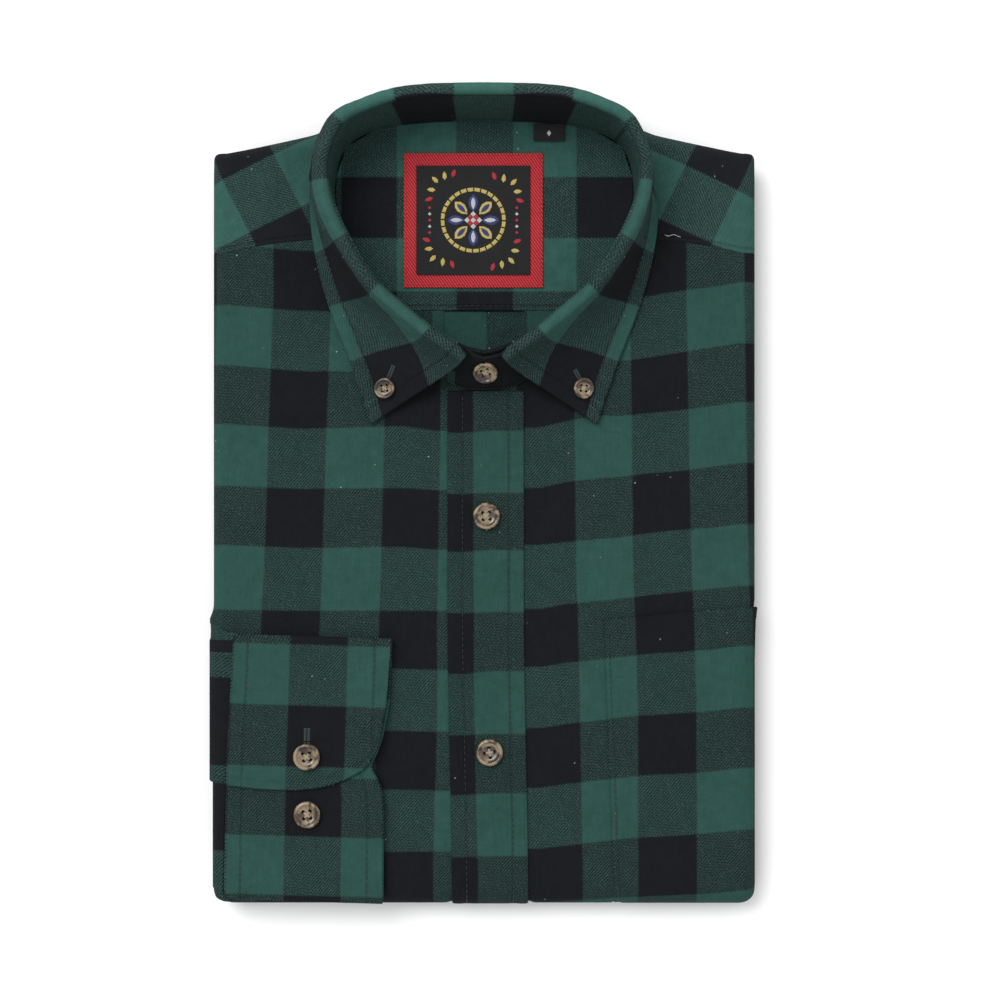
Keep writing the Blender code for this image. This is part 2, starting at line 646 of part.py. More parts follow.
def cuff_place(u, v, z):
    """A point of the cuff from its own axes, along the sleeve and up the flat tube."""
    x = CUFF_MIDDLE[0] + u * cos(CUFF_TURN) - v * sin(CUFF_TURN)
    y = CUFF_MIDDLE[1] + u * sin(CUFF_TURN) + v * cos(CUFF_TURN)
    past = min(max(TURN_START - y, 0.0), BOTTOM_RADIUS * 0.8)
    droop = min(BOTTOM_RADIUS - (BOTTOM_RADIUS ** 2 - past ** 2) ** 0.5, 1.6) * 0.8
    return np.array((x, y, z - droop + upper_height(x, y) - TOP_Z))


def lap_edge(u):
    """The upper lap's free edge, rounded towards the cuff's open end."""
    corner_u, corner_v = LAP_CORNER
    past = max(u - (CUFF_WIDTH / 2 - corner_u), 0.0) / corner_u
    return LAP_EDGE + corner_v * (1 - (1 - past ** 2.4) ** (1 / 2.4))


def cuff_section(u):
    """The wound strip: upper lap, top fold, underside, bottom fold and under lap."""
    level = [TOP_Z + GAP + CUFF_WALL / 2]
    level.append(level[0] + CUFF_WALL + GAP)
    level.append(level[1] + CUFF_WALL + GAP)
    upper = level[1] + 0.7
    radius = (upper - level[0]) / 2
    low_radius = (level[1] - level[0]) / 2
    end = CUFF_HEIGHT / 2 - CUFF_WALL / 2
    start = lap_edge(u)
    path = []
    for v in spaced(start, max(start, 8.0) + 7, 4) + [max(start, 8.0) + 16, end - 14, end - radius]:
        rise = 1 - ease(v, UNDER_LAP_END + 1, UNDER_LAP_END + 13)
        path.append((v, upper + (level[2] - upper) * rise))
    for angle in (45, 90, 135, 180):
        turn = radians(angle)
        path.append((end - radius + radius * sin(turn), upper - radius + radius * cos(turn)))
    path += [(v, level[0]) for v in (end - 14, 18.0, -7.0, -32.0, -46.0, -50.0, -end + low_radius)]
    for angle in (45, 90, 135, 180):
        turn = radians(angle)
        path.append((-end + low_radius - low_radius * sin(turn),
                     level[0] + low_radius - low_radius * cos(turn)))
    path += [(v, level[1]) for v in (-50.0, -46.0, -32.0, -7.0, UNDER_LAP_END)]
    return [cuff_place(u, v, z) for v, z in path]


def make_cuff():
    shares = (-0.5, -0.3, -0.1, 0.1, 0.2, 0.3, 0.38, 0.44, 0.48, 0.5)
    grid = [cuff_section(CUFF_WIDTH * share) for share in shares]
    return cloth("cuff", grid, CUFF_WALL, offset=0.0)


def sleeve_lift(y):
    """Thickness of cloth over the front: the pleats by the cuff, and the slit's overlap."""
    lift = GAP + SLEEVE_WALL
    lift += 0.8 * ease(y, -66.5, -65.0) + 0.7 * ease(y, -77.5, -76.0)
    lift += 0.9 * ease(y, SLEEVE_SLIT - 0.6, SLEEVE_SLIT + 0.6)
    return lift


def make_sleeve():
    """The sleeve comes out between the packages, round the side fold and up to the cuff."""
    seam_gap = 0.9
    rows = (SLEEVE_TOP, -55, -60, -65.0, -66.5, -71, -76.0, -77.5, -88, -100, -112,
            SLEEVE_SLIT + 0.6, SLEEVE_SLIT - 0.6, -135, -150, -163, -169, -173, SLEEVE_BOTTOM)
    grid = []
    start = side_start(-1, BOTTOM_Y)
    round_side = SIDE_ROLL * pi
    for y in rows:
        cuff_edge = -(CUFF_MIDDLE[0] - CUFF_WIDTH / 2 + (y - CUFF_MIDDLE[1]) * -sin(CUFF_TURN))
        lift = sleeve_lift(y) - 0.8 * ease(y, -56, SLEEVE_TOP) - 0.4 * ease(-y, 170, 175.6)
        end = round_side + 6.0
        first = cuff_edge + seam_gap
        outs = [first + (start + end - first) * share
                for share in (0, 0.06, 0.14, 0.26, 0.38, 0.5, 0.62, 0.74, 0.87, 1)]
        line = []
        for out in outs:
            tucked = ease(out, start + round_side * 0.7, start + round_side)
            rise = lift + (GAP + SLEEVE_WALL - lift) * tucked + 0.4 * ease(-y, 145, 158)
            along = y - 8.0 * ease(y, -78, SLEEVE_TOP) * (1 - ease(out, cuff_edge, start + 9.0))
            along += 17.0 * ease(-y, 130, 176) * ease(out, start + round_side * 0.3, start + round_side)
            seat = max(along, TURN_START + 0.5)
            point = front_lifted(-1, out, seat, rise)
            point[1] += along - seat
            line.append(point)
        grid.append(line)
    return cloth("sleeve", grid, SLEEVE_WALL, even=False)


# ---------------------------------------------------------------- buttons and labels

def make_button(name, diameter, centre, normal):
    """A four-hole button with a raised rim, turned from its profile and drilled through."""
    radius = diameter / 2
    profile = ((0.0, 0.0), (0.62, 0.0), (0.92, 0.10), (1.0, 0.24), (0.96, 0.40),
               (0.82, 0.46), (0.70, 0.38), (0.58, 0.30), (0.0, 0.27))
    sides = 16
    points, faces = [(0.0, 0.0, 0.0)], []
    for r, z in profile[1:-1]:
        points += [(radius * r * cos(2 * pi * k / sides), radius * r * sin(2 * pi * k / sides),
                    radius * z) for k in range(sides)]
    points.append((0.0, 0.0, radius * profile[-1][1]))
    top = len(points) - 1
    rings = len(profile) - 2
    for k in range(sides):
        n = (k + 1) % sides
        faces.append((0, 1 + n, 1 + k))
        faces.append((top, 1 + (rings - 1) * sides + k, 1 + (rings - 1) * sides + n))
        for ring in range(rings - 1):
            a, b = 1 + ring * sides + k, 1 + ring * sides + n
            faces.append((a, b, b + sides, a + sides))
    button = add_object(name, points, faces, "horn", 30.0)
    button.data.transform(Matrix.Translation((-SHIFT[0] * MM, -SHIFT[1] * MM, 0)))
    cutter = make_hole_cutter(name + "_holes", radius)
    drill = button.modifiers.new("Holes", "BOOLEAN")
    drill.operation = "DIFFERENCE"
    drill.object = cutter
    seat(button, centre, normal)
    cutter.parent = button
    return button


def seat(obj, centre, normal):
    obj.location = ((centre[0] + SHIFT[0]) * MM, (centre[1] + SHIFT[1]) * MM, centre[2] * MM)
    obj.rotation_mode = "QUATERNION"
    obj.rotation_quaternion = Vector(tuple(normal)).to_track_quat("Z", "Y")


def make_hole_cutter(name, radius):
    """Four short drills as one helper."""
    hole, reach, sides = radius * 0.13, radius * 0.27, 5
    shape = bmesh.new()
    for turn in range(4):
        angle = pi / 4 + turn * pi / 2
        made = bmesh.ops.create_cone(shape, cap_ends=True, segments=sides, radius1=hole * MM,
                                     radius2=hole * MM, depth=radius * 1.6 * MM)
        bmesh.ops.translate(shape, verts=made["verts"],
                            vec=(reach * cos(angle) * MM, reach * sin(angle) * MM, 0))
    mesh = bpy.data.meshes.new(name)
    shape.to_mesh(mesh)
    shape.free()
    cutter = bpy.data.objects.new(name, mesh)
    bpy.context.scene.collection.objects.link(cutter)
    cutter.hide_render = True
    cutter.display_type = "WIRE"
    return cutter


def make_buttons():
    lift = 2 * GAP + SMALL_WALL
    for name, x, y in (("button_front_1", 0.8, -7.4), ("button_front_2", 2.5, -109.8)):
        make_button(name, FRONT_BUTTON, front_lifted(1, x, y, lift), front_normal(1, x, y))
    low, high = stand_point(0.0, 0.2, 1, 1.35), stand_point(0.0, 0.8, 1, 1.35)
    up = unit(high - low)
    face = unit(np.cross(np.array((1.0, 0.0, 0.0)), up))
    middle = stand_point(0.0, BAND_BUTTON[1], 1, 1.35) + face * (STAND_WALL / 2 + GAP)
    middle[0] += BAND_BUTTON[0]
    make_button("button_band", FRONT_BUTTON - 0.8, middle, face)
    for name, side in (("button_collar_right", -1), ("button_collar_left", 1)):
        place, face = leaf_seat(side)
        make_button(name, COLLAR_BUTTON, place, face)
    for name, u, v, level in (("button_cuff_1", -0.1, 5.8, 3), ("button_cuff_2", 0.6, -19.4, 2)):
        z = TOP_Z + level * (CUFF_WALL + GAP) + GAP
        make_button(name, FRONT_BUTTON, cuff_place(u, v, z), (0.0, 0.0, 1.0))


def leaf_seat(side):
    """Where a collar button sits: near the tip, on the leaf's outer face."""
    at, row, past = 1.02, -3, 0.38
    here = leaf_section(at, side)
    beside = leaf_section(at + 0.3, side)
    place, along = here[row] + (here[row + 1] - here[row]) * past, here[row + 1] - here[row]
    across = beside[row] - here[row]
    face = unit(np.cross(across, along))
    face = face if face[2] > 0 else -face
    return place + face * (COLLAR_WALL / 2 + GAP), face


def plate(name, corner_low, corner_high, wall, material_name, lift):
    """A flat woven piece that follows the inside of the yoke."""
    grid = []
    for y in spaced(corner_low[1], corner_high[1], 4):
        grid.append([np.array((x, y, inside_height(x, y) + lift))
                     for x in spaced(corner_low[0], corner_high[0], 4)])
    return cloth(name, grid, wall, material_name)


def make_labels():
    border = 5.5
    low, high = (-35.0, 92.2), (25.4, 150.6)
    plate("label_border", low, high, 0.5, "label_red", GAP + 0.5)
    inner_low = (low[0] + border, low[1] + border)
    inner_high = (high[0] - border, high[1] - border)
    plate("label_field", inner_low, inner_high, 0.4, "label_black", 2 * GAP + 0.9)
    plate("size_tab", (20.6, 154.6), (33.4, 162.2), 0.6, "label_black", GAP + 1.6)


def main():
    clear_scene()
    make_front("front_right", -1)
    make_front("front_left", 1)
    make_yoke_outer()
    make_placket()
    make_pocket()
    make_yoke_inner()
    make_back()
    make_core()
    make_stand()
    make_leaf()
    make_cuff()
    make_sleeve()
    make_buttons()
    make_labels()


main()
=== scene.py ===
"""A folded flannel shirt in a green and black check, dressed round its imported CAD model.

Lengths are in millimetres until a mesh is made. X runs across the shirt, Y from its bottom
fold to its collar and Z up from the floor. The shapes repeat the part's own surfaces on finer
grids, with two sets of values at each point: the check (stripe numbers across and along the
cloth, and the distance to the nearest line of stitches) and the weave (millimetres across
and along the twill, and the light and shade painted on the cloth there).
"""

from math import cos, exp, hypot, pi, radians, sin, sqrt

import bmesh
import bpy
import numpy as np
from mathutils import Matrix, Vector


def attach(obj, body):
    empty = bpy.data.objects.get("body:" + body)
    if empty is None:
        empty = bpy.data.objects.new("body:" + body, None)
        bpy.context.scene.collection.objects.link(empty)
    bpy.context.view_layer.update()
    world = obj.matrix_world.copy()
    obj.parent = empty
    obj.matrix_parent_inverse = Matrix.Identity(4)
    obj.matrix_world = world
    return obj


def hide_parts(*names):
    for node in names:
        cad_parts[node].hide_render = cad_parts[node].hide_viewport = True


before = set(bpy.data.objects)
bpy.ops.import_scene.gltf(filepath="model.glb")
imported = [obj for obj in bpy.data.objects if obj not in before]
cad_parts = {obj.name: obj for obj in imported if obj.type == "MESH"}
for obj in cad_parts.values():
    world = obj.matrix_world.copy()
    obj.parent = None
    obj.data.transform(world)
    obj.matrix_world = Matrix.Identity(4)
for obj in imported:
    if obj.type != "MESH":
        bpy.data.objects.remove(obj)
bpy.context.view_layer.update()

MM, SQUARE_MM = 0.001, 1e-6
SHIFT = np.array((0.82, -0.44, 0.0))    # from this script's middle to the frame's

# Bundle
HALF_WIDTH, BOTTOM_Y = 117.6, -176.2
TOP_Z, CROWN = 19.6, 1.0                # the fronts' height, and how far their middle rises
UPPER_FLOOR, TAIL_TOP = 9.6, 6.0        # the upper package's underside, the tail's upper side
SIDE_ROLL, TUCK = 5.5, 9.0              # radius of the sides, and how far they go in under it
HEM_Y = 137.0                           # the tail's end
SHOULDER_Y, SHOULDER_RISE = 149.5, 10.0
BACK_EDGE, BACK_DROOP = 168.6, 5.0      # behind the neck: the package's edge, and how it thins
SEAM_Y, SEAM_DROP = 113.0, 7.6          # the yoke's seam, and how far it drops at the sides
NECK_DIP = 5.0                          # how far the fronts dip beside the neck

# Cloth
WALL, SMALL_WALL, GAP = 1.4, 1.0, 0.3
TWILL = 1.04            # pitch of the twill lines
CHECK = 25.0            # a stripe's width, for patterns that follow the check
WARP_STRIPE, WEFT_STRIPE = 25.05, 26.3  # widths of the check's stripes across and along
STITCH, THREAD_LIFT = 2.6, 0.02         # a stitch with its gap, and its height over the cloth
NO_SEAM = 99.0          # the distance to a line of stitches where there is none

# How far inside its edge each piece's line of stitches runs
PLACKET_INSET, POCKET_INSET, COLLAR_INSET, CUFF_INSET = 6.2, 1.6, 6.0, 6.6
YOKE_INSET, INNER_INSET, STAND_INSET, LAP_INSET = 1.7, 1.8, 2.0, 3.4

# How much lighter or darker each piece's cloth is painted against the fronts' 1.0: painted light
# and shade, lighting up most the shaded inside of the stand and the yoke's lining
PAINTED_LIGHT_BY_PIECE = {"placket": 0.93, "pocket": 0.97, "sleeve": 0.95, "folded_layers": 0.85, "back": 0.9,
         "yoke_inner": 1.42, "yoke_outer": 1.32, "stand_inside": 1.6, "leaf": 1.08}

# Placket
PLACKET_WIDTH, PLACKET_X, PLACKET_SWING, PLACKET_TOP = 32.6, 0.7, 1.9, 46.4

# Pocket
POCKET_X, POCKET_LEAN = 52.0, 4.6
POCKET_Y, POCKET_RISE = -52.4, 5.2
POCKET_BOTTOM, POCKET_PRESS = -187.5, 1.2

# Cuff and sleeve
CUFF_WALL = 1.8
CUFF_MIDDLE = (-76.4, -116.8)
CUFF_WIDTH, CUFF_HEIGHT = 69.0, 115.2
CUFF_TURN = radians(-1.6)
# The lap's edge on the cuff, across and along, then the lower part's outline beside it
LAP_U = (-34.5, -28.0, -20.0, -10.0, -3.0, 4.0, 10.0, 15.8, 20.6, 24.4, 26.8, 28.7, 30.2, 31.4,
         32.4, 33.3, 34.5)
LAP_V = (-7.1, -7.8, -8.4, -8.6, -8.3, -7.4, -5.9, -3.7, -1.2, 1.2, 3.6, 6.9, 11.0, 15.8, 22.0,
         30.0, 50.0)
UNDER_LAP_END = 12.0
UNDER_V = (-57.0, -41.0, -27.0, -14.0, -8.0, -4.0, -1.0, 1.5, 4.0, 8.0, 14.5, 22.0, 30.0, 41.0)
UNDER_U = (33.8, 33.4, 33.2, 32.8, 32.0, 30.4, 28.6, 27.0, 27.6, 29.6, 31.6, 33.0, 34.2, 34.5)
# The cuff's left side, along and across
LEFT_V = (-57.0, -20.0, 10.0, 30.0, 57.0)
LEFT_U = (33.8, 34.3, 34.1, 33.6, 33.0)
# Where a line of the check runs on the cuff's upper part, on its lower part and across both,
# with the widths of the stripes there
UPPER_LINE, LOWER_LINE, ACROSS_LINE = 53.8, -28.9, -9.1
UPPER_STRIPE, LOWER_STRIPE, ACROSS_STRIPE = 26.25, 25.5, 25.2
SLEEVE_WALL, SLEEVE_PRESS = 2.0, 3.0
SLEEVE_TOP, SLEEVE_BOTTOM, SLEEVE_SLIT = -50.5, -175.6, -122.7
SLEEVE_END_X = (-117.5, -117.2, -116.85, -116.3, -115.0, -113.9, -112.9, -111.6, -109.8)
SLEEVE_END_Y = (-168.5, -170.4, -171.9, -172.8, -173.7, -174.2, -174.6, -174.75, -174.75)

# Collar
COLLAR_WALL, STAND_WALL, ROLL, SEAM_BELOW_FOLD = 1.6, 1.8, 1.9, 4.6
STAND_HEIGHT, STAND_STRIPE, STAND_ROW = 30.0, 25.2, 30.5    # and its check's widths
LEAF_LINE, LEAF_HEM = 22.9, 5.8         # where lines of the check run along it and by its edge

# Buttons
FRONT_BUTTON, COLLAR_BUTTON = 11.6, 9.0
BAND_BUTTON = (0.6, 0.64)

STAND = (
    # out    y     z    | out   y      z
    (0.0,   49.2, 21.6,  0.0,  61.4, 38.4),
    (12.0,  50.4, 21.6,  9.0,  63.8, 38.8),
    (26.0,  57.5, 21.4,  20.6, 71.6, 40.4),
    (40.0,  70.0, 20.6,  34.6, 82.8, 41.3),
    (51.0,  84.5, 19.0,  47.0, 94.0, 41.8),
    (59.6, 103.0, 16.6,  57.8, 111.6, 42.3),
    (64.6, 122.0, 14.6,  65.0, 128.0, 42.4),
    (65.6, 139.0, 13.2,  67.0, 140.6, 42.4),
    (60.8, 153.4, 12.6,  63.4, 153.8, 42.2),
    (47.0, 161.6, 12.2,  51.8, 166.4, 42.0),
    (24.0, 164.8, 12.0,  26.4, 171.0, 41.9),
    (0.0,  165.4, 12.0,  0.0,  171.8, 41.9),
)

LEAF = (
    # along  out   y      z    | out   y     over  | fold  edge
    (0.0,    6.9,  61.9, 43.6,  48.6, 32.6,  1.5,   8.0, 24.0),
    (8.0,   12.9,  66.9, 44.6,  51.5, 42.0,  1.4,   9.0, 23.0),
    (22.9,  24.0,  74.4, 45.8,  57.5, 59.3,  1.3,  10.0, 20.0),
    (35.0,  34.8,  83.3, 46.4,  62.4, 71.6,  1.3,   9.0, 16.0),
    (47.9,  44.5,  91.8, 46.8,  66.9, 83.6,  1.4,   8.0, 12.0),
    (60.0,  52.0, 102.0, 47.0,  70.4, 95.0,  1.6,   7.0, 10.0),
    (72.9,  58.0, 112.5, 47.0,  73.0, 106.4, 1.8,   6.0,  8.0),
    (85.0,  63.2, 123.4, 47.0,  74.6, 117.6, 2.0,   5.0,  7.0),
    (97.9,  66.1, 135.7, 47.0,  75.2, 129.6, 2.2,   4.0,  6.0),
    (110.0, 65.2, 147.0, 46.9,  74.4, 141.6, 2.4,   3.0,  5.0),
    (122.9, 59.5, 159.2, 46.8,  71.6, 153.6, 3.0,   3.0,  4.0),
    (135.0, 49.8, 164.8, 46.7,  66.8, 163.4, 13.5,  3.0,  3.0),
    (147.9, 37.3, 168.9, 46.6,  56.0, 171.2, 8.6,   2.5,  3.0),
    (160.0, 25.4, 170.5, 46.5,  40.0, 175.4, 6.6,   2.5,  3.0),
    (172.9, 12.5, 171.0, 46.5,  21.0, 177.2, 5.8,   2.5,  3.0),
    (185.4,  0.0, 171.2, 46.5,   0.0, 177.6, 5.6,   2.5,  3.0),
)
PAST_SHOULDER = 130.0   # from here on the leaf's edge hangs free behind the neck
STAND_SPREAD = 1.35     # how far the stand's lapped ends lie from their middle

FOLDS = (
    # x0     y0     x1     y1   half height
    (-46.0,  28.0, -19.0, -30.0, 9.0, 1.1),
    (-22.0, -66.0, -27.0, -160.0, 7.0, -0.8),
    (30.0,   22.0,  58.0, -30.0, 12.0, 0.9),
    (100.0,  60.0,  84.0, -20.0, 14.0, 0.7),
    (-96.0,  70.0, -84.0,  10.0, 13.0, 0.8),
    (34.0,  -60.0,  30.0, -150.0, 10.0, 0.7),
    (-92.0, 118.0, -76.0, 146.0, 7.0, -0.9),
    (92.0,  118.0,  78.0, 146.0, 7.0, -0.8),
)

# Where the check's lines run, in the cloth's millimetres: a place along them, then the lines there
LEFT_COLUMNS = (
    (-154.1, (-99.2, -74.1, -47.7, -22.1)), (-97.9, (-97.9, -72.8, -46.8, -20.4)),
    (-52.4, (-96.6, -71.1, -45.5, -20.4)), (-28.6, (-95.3, -70.2, -44.7, -20.0)),
    (23.3, (-93.6, -68.5, -43.4, -19.1)), (86.1, (-91.4, -66.3, -41.6, -18.7)),
)
RIGHT_COLUMNS = (
    (-167.1, (42.8, 66.6, 92.1, 117.2)), (-87.1, (41.3, 66.4, 91.7, 116.8)),
    (-52.4, (40.6, 65.3, 90.8, 115.9)), (-28.6, (39.7, 64.4, 89.7, 114.6)),
    (23.3, (39.3, 64.0, 88.6, 113.7)), (90.4, (38.4, 63.1, 87.6, 112.7)),
)
LEFT_ROWS = (
    (-111.3, (83.9, 57.9, 32.4, 5.6, -20.0, -48.1, -73.6, -100.5, -126.0, -152.8)),
    (-79.7, (81.3, 55.3, 30.2, 4.3, -21.3, -48.5, -73.6, -100.5, -126.0, -152.8)),
    (-35.6, (80.9, 54.9, 31.5, 4.7, -20.8, -48.5, -73.6, -100.5, -126.0, -152.8)),
    (-20.8, (80.9, 54.9, 29.4, 3.8, -22.1, -48.5, -74.1, -100.9, -126.4, -152.8)),
)
PLACKET_ROWS = (
    (-9.2, (28.5, 2.1, -23.0, -49.4, -75.8, -102.2, -128.2, -155.0)),
    (2.5, (29.4, 2.5, -22.1, -49.0, -74.5, -101.8, -127.3, -154.6)),
)
RIGHT_ROWS = (
    (24.2, (83.0, 56.8, 30.7, 4.7, -20.0, -47.7, -72.8, -99.2, -125.1, -151.5)),
    (35.8, (84.2, 58.0, 33.7, 7.3, -18.7, -45.5, -71.0, -97.4, -123.4, -150.2)),
    (48.0, (84.7, 58.7, 36.0, 8.6, -17.6, -44.4, -69.8, -96.2, -122.0, -148.7)),
    (61.4, (85.8, 59.8, 36.0, 9.8, -16.4, -43.0, -68.2, -94.2, -120.4, -147.0)),
    (72.6, (88.0, 61.4, 37.2, 11.2, -14.8, -41.6, -66.9, -93.5, -119.4, -146.3)),
    (84.8, (90.0, 63.3, 38.3, 12.0, -13.5, -40.3, -66.3, -92.7, -119.1, -145.6)),
    (98.6, (91.7, 65.5, 40.2, 13.8, -12.6, -38.9, -65.2, -91.8, -118.0, -144.6)),
    (111.1, (93.8, 67.4, 41.9, 15.5, -10.9, -37.7, -63.7, -90.5, -116.5, -143.3)),
)
PLACKET_COLUMN = ((-165.0, (-2.7,)), (-87.1, (-4.4,)), (29.8, (-4.8,)))
BACK_COLUMNS = ((0.0, (-22.6, 1.0, 19.0, 32.0)),)
INNER_COLUMNS = ((0.0, (-62.4, -38.2, -12.2, 12.5, 40.2, 64.8)),)
INNER_ROWS = ((0.0, (165.4, 140.4, 113.6, 90.5)),)
SLEEVE_ROWS = ((0.0, (-49.0, -61.1, -66.3, -77.1, -115.7, -122.9, -152.4, -178.0)),)
YOKE_LEFT = ((-112.2, 135.8), 27.0, (1.0, 0.1))     # a crossing of lines, the turn, its numbers
YOKE_RIGHT = ((87.3, 144.5), -25.8, (1.0, 0.0))
TWILL_ANGLE, CROSS_ANGLE, COLLAR_ANGLE = radians(41), radians(-49), radians(57)

# The outer yoke's lower edge: how far out, how far up where that isn't its seam, and the place
# at its top that this one meets
YOKE_LINES = (
    (112.1, None,    112.1), (104.0, None,    104.0), (94.0, None,     94.0),
    (84.0,  None,     85.0), (74.0,  None,     77.5), (64.8, None,     72.0),
    (67.6,  124.0,    70.0), (68.3,  136.0,    68.0), (66.0, 148.4,    64.0),
    (59.0,  158.2,    57.0), (47.0,  164.6,    46.0), (33.0, 166.6,    32.0),
    (16.0,  167.6,    16.0), (0.0,   167.9,     0.0),
)


# ---------------------------------------------------------------- small helpers

def ease(value, start, end):
    t = min(max((value - start) / (end - start), 0.0), 1.0)
    return t * t * (3 - 2 * t)


def unit(vector):
    return vector / np.linalg.norm(vector)


def hump(value, middle, width):
    """A smooth bump of height 1 round a middle."""
    return exp(-((value - middle) / width) ** 2)


def spaced(start, end, step):
    """Evenly from start to end, both among them, about a step apart."""
    return np.linspace(start, end, max(int(round(abs(end - start) / step)), 1) + 1)


def along_table(rows, at):
    rows = np.asarray(rows, float)
    last = len(rows) - 1
    i = int(min(max(at, 0), last - 1e-9))
    t = at - i
    p0, p1 = rows[max(i - 1, 0)], rows[i]
    p2, p3 = rows[i + 1], rows[min(i + 2, last)]
    return 0.5 * (2 * p1 + (p2 - p0) * t + (2 * p0 - 5 * p1 + 4 * p2 - p3) * t ** 2
                  + (3 * p1 - p0 - 3 * p2 + p3) * t ** 3)


def make_waves(seed, wavelength, count=9):
    """A smooth, uneven surface with humps about a wavelength across, as a function of x and y."""
    draw = np.random.RandomState(seed)
    turns = draw.uniform(0, pi, count)
    sizes = 2 * pi / (wavelength * draw.uniform(0.7, 1.5, count))
    parts = [(size * cos(turn), size * sin(turn), phase)
             for size, turn, phase in zip(sizes, turns, draw.uniform(0, 2 * pi, count))]

    def waves(x, y):
        return sum(sin(a * x + b * y + c) for a, b, c in parts) / sqrt(count)
    return waves


slow_waves = make_waves(3, 42.0)
quick_waves = make_waves(8, 15.0)
fine_waves = make_waves(21, 6.5)


# ---------------------------------------------------------------- the folded body's outer face

def fold_relief(x, y):
    total = 0.0
    for x0, y0, x1, y1, half, height in FOLDS:
        dx, dy = x1 - x0, y1 - y0
        t = min(max(((x - x0) * dx + (y - y0) * dy) / (dx * dx + dy * dy), 0.0), 1.0)
        away = hypot(x - x0 - dx * t, y - y0 - dy * t)
        total += height * sin(pi * min(max(t, 0.15), 0.85)) * hump(away, 0.0, half)
    return total + 0.28 * slow_waves(x, y) + 0.12 * quick_waves(x, y)


def upper_height(x, y):
    crown = CROWN * max(0.0, 1 - (x / HALF_WIDTH) ** 2) * ease(y, BOTTOM_Y, BOTTOM_Y + 60)
    dip = NECK_DIP * ease(y, 66, 128) * (1 - ease(abs(x), 60, 98))
    dip += 3.4 * ease(y, 126, 158) * (1 - ease(abs(x), 44, 70))
    fade = ease(y, BOTTOM_Y + 10, BOTTOM_Y + 40) * ease(HALF_WIDTH - abs(x), 4, 24)
    return TOP_Z + crown - dip + fade * fold_relief(x, y)


def package_floor(y):
    return UPPER_FLOOR - BACK_DROOP * ease(y, HEM_Y, 156)


def shoulder_line(x):
    rising = SHOULDER_Y + SHOULDER_RISE * (max(HALF_WIDTH - abs(x), 0) / 46.5) ** 1.2
    return rising + (BACK_EDGE - rising) * (1 - ease(abs(x), 40, 76))


def yoke_seam(x):
    return SEAM_Y - SEAM_DROP * (max(abs(x) - 62, 0) / 55.0) ** 2


def side_start(side, y):
    """Where a front begins to roll over its side, pressed in a little beside sleeve and pocket."""
    if side < 0:
        swell = 1.85 * hump(y, SLEEVE_TOP - 2.5, 3.6)
        pressed = SLEEVE_PRESS * (1 - ease(y, SLEEVE_TOP - 10.5, SLEEVE_TOP - 3.5))
        return HALF_WIDTH - SIDE_ROLL + swell - pressed
    top = POCKET_Y + POCKET_RISE
    return HALF_WIDTH - SIDE_ROLL - POCKET_PRESS * (1 - ease(y, top - 8, top + 5))


# The fold at the bottom, from the upper face round to the tail under the package
BOTTOM_RADIUS = TOP_Z / 2
TURN_START = BOTTOM_Y + BOTTOM_RADIUS
TURN_ARC = pi * BOTTOM_RADIUS
TURN_ROWS = [TURN_START - TURN_ARC * k / 24 for k in range(1, 25)]
TAIL_START = TURN_START - TURN_ARC
TAIL_END = TAIL_START - (HEM_Y - TURN_START)


def turned_share(b):
    """How far round the bottom fold a place is, from 0 to 1."""
    return min(max(TURN_START - b, 0.0) / TURN_ARC, 1.0)


def bottom_turn(b):
    """A place's Y and Z from its distance along the cloth, and the normal there."""
    arc = max(TURN_START - b, 0.0)
    angle = min(arc / BOTTOM_RADIUS, pi)
    y = max(b, TURN_START) if arc == 0 else TURN_START - BOTTOM_RADIUS * sin(angle)
    y += max(arc - TURN_ARC, 0.0)
    return y, TOP_Z - BOTTOM_RADIUS * (1 - cos(angle)), -sin(angle), cos(angle)


def front_point(side, out, b):
    """A point of a front's outer face, from its distances out from the middle and along."""
    y, z, normal_y, normal_z = bottom_turn(b)
    turned = turned_share(b)
    upper_roll = (TOP_Z - UPPER_FLOOR) / 2
    depth_radius = upper_roll + (TAIL_TOP / 2 - upper_roll) * ease(turned, 0, 1)
    start = side_start(side, y if turned < 0.5 else BOTTOM_Y)
    angle = min(max(out - start, 0.0) / SIDE_ROLL, pi)
    tucked = max(out - start - pi * SIDE_ROLL, 0.0)
    x = min(out, start) + SIDE_ROLL * sin(angle) - tucked
    depth = depth_radius * (1 - cos(angle))
    raised = (upper_height(side * min(out, start), y) - TOP_Z) * (1 - ease(turned, 0, 0.5))
    raised *= (1 + cos(angle)) / 2
    flat = 0.9 * (1 - ease(abs(side * x - placket_middle(BOTTOM_Y)), 16.5, 19.5))
    if side > 0:
        flat += 1.2 * ease(x, 54.8, 58.4)
    return np.array((side * x, y - normal_y * depth + flat * sin(pi * turned),
                     z - normal_z * depth + raised))


def front_normal(side, out, b):
    step = 0.2
    across = front_point(side, out + step, b) - front_point(side, out - step, b)
    along = front_point(side, out, b + step) - front_point(side, out, b - step)
    return unit(np.cross(across, along) * side)


def front_lifted(side, out, b, lift):
    return front_point(side, out, b) + front_normal(side, out, b) * lift


def yoke_point(side, out, b):
    """A point of the yoke, which rolls over the side and the shoulder at once."""
    start = side_start(side, b)
    over_side = max(out - start, 0.0)
    x = min(out, start)
    over_top = max(b - (shoulder_line(x) - SIDE_ROLL), 0.0)
    y = min(b, shoulder_line(x) - SIDE_ROLL)
    size = (over_side ** 4 + over_top ** 4) ** 0.25
    angle = min(size / SIDE_ROLL, pi)
    reach = SIDE_ROLL * sin(angle) / max(size, 1e-9)
    under = max(size - SIDE_ROLL * pi, 0.0) / max(size, 1e-9)
    top, floor = upper_height(side * x, y), package_floor(y)
    z = top - (top - floor) / 2 * (1 - cos(angle))
    return np.array((side * (x + (reach - under) * over_side), y + (reach - under) * over_top, z))


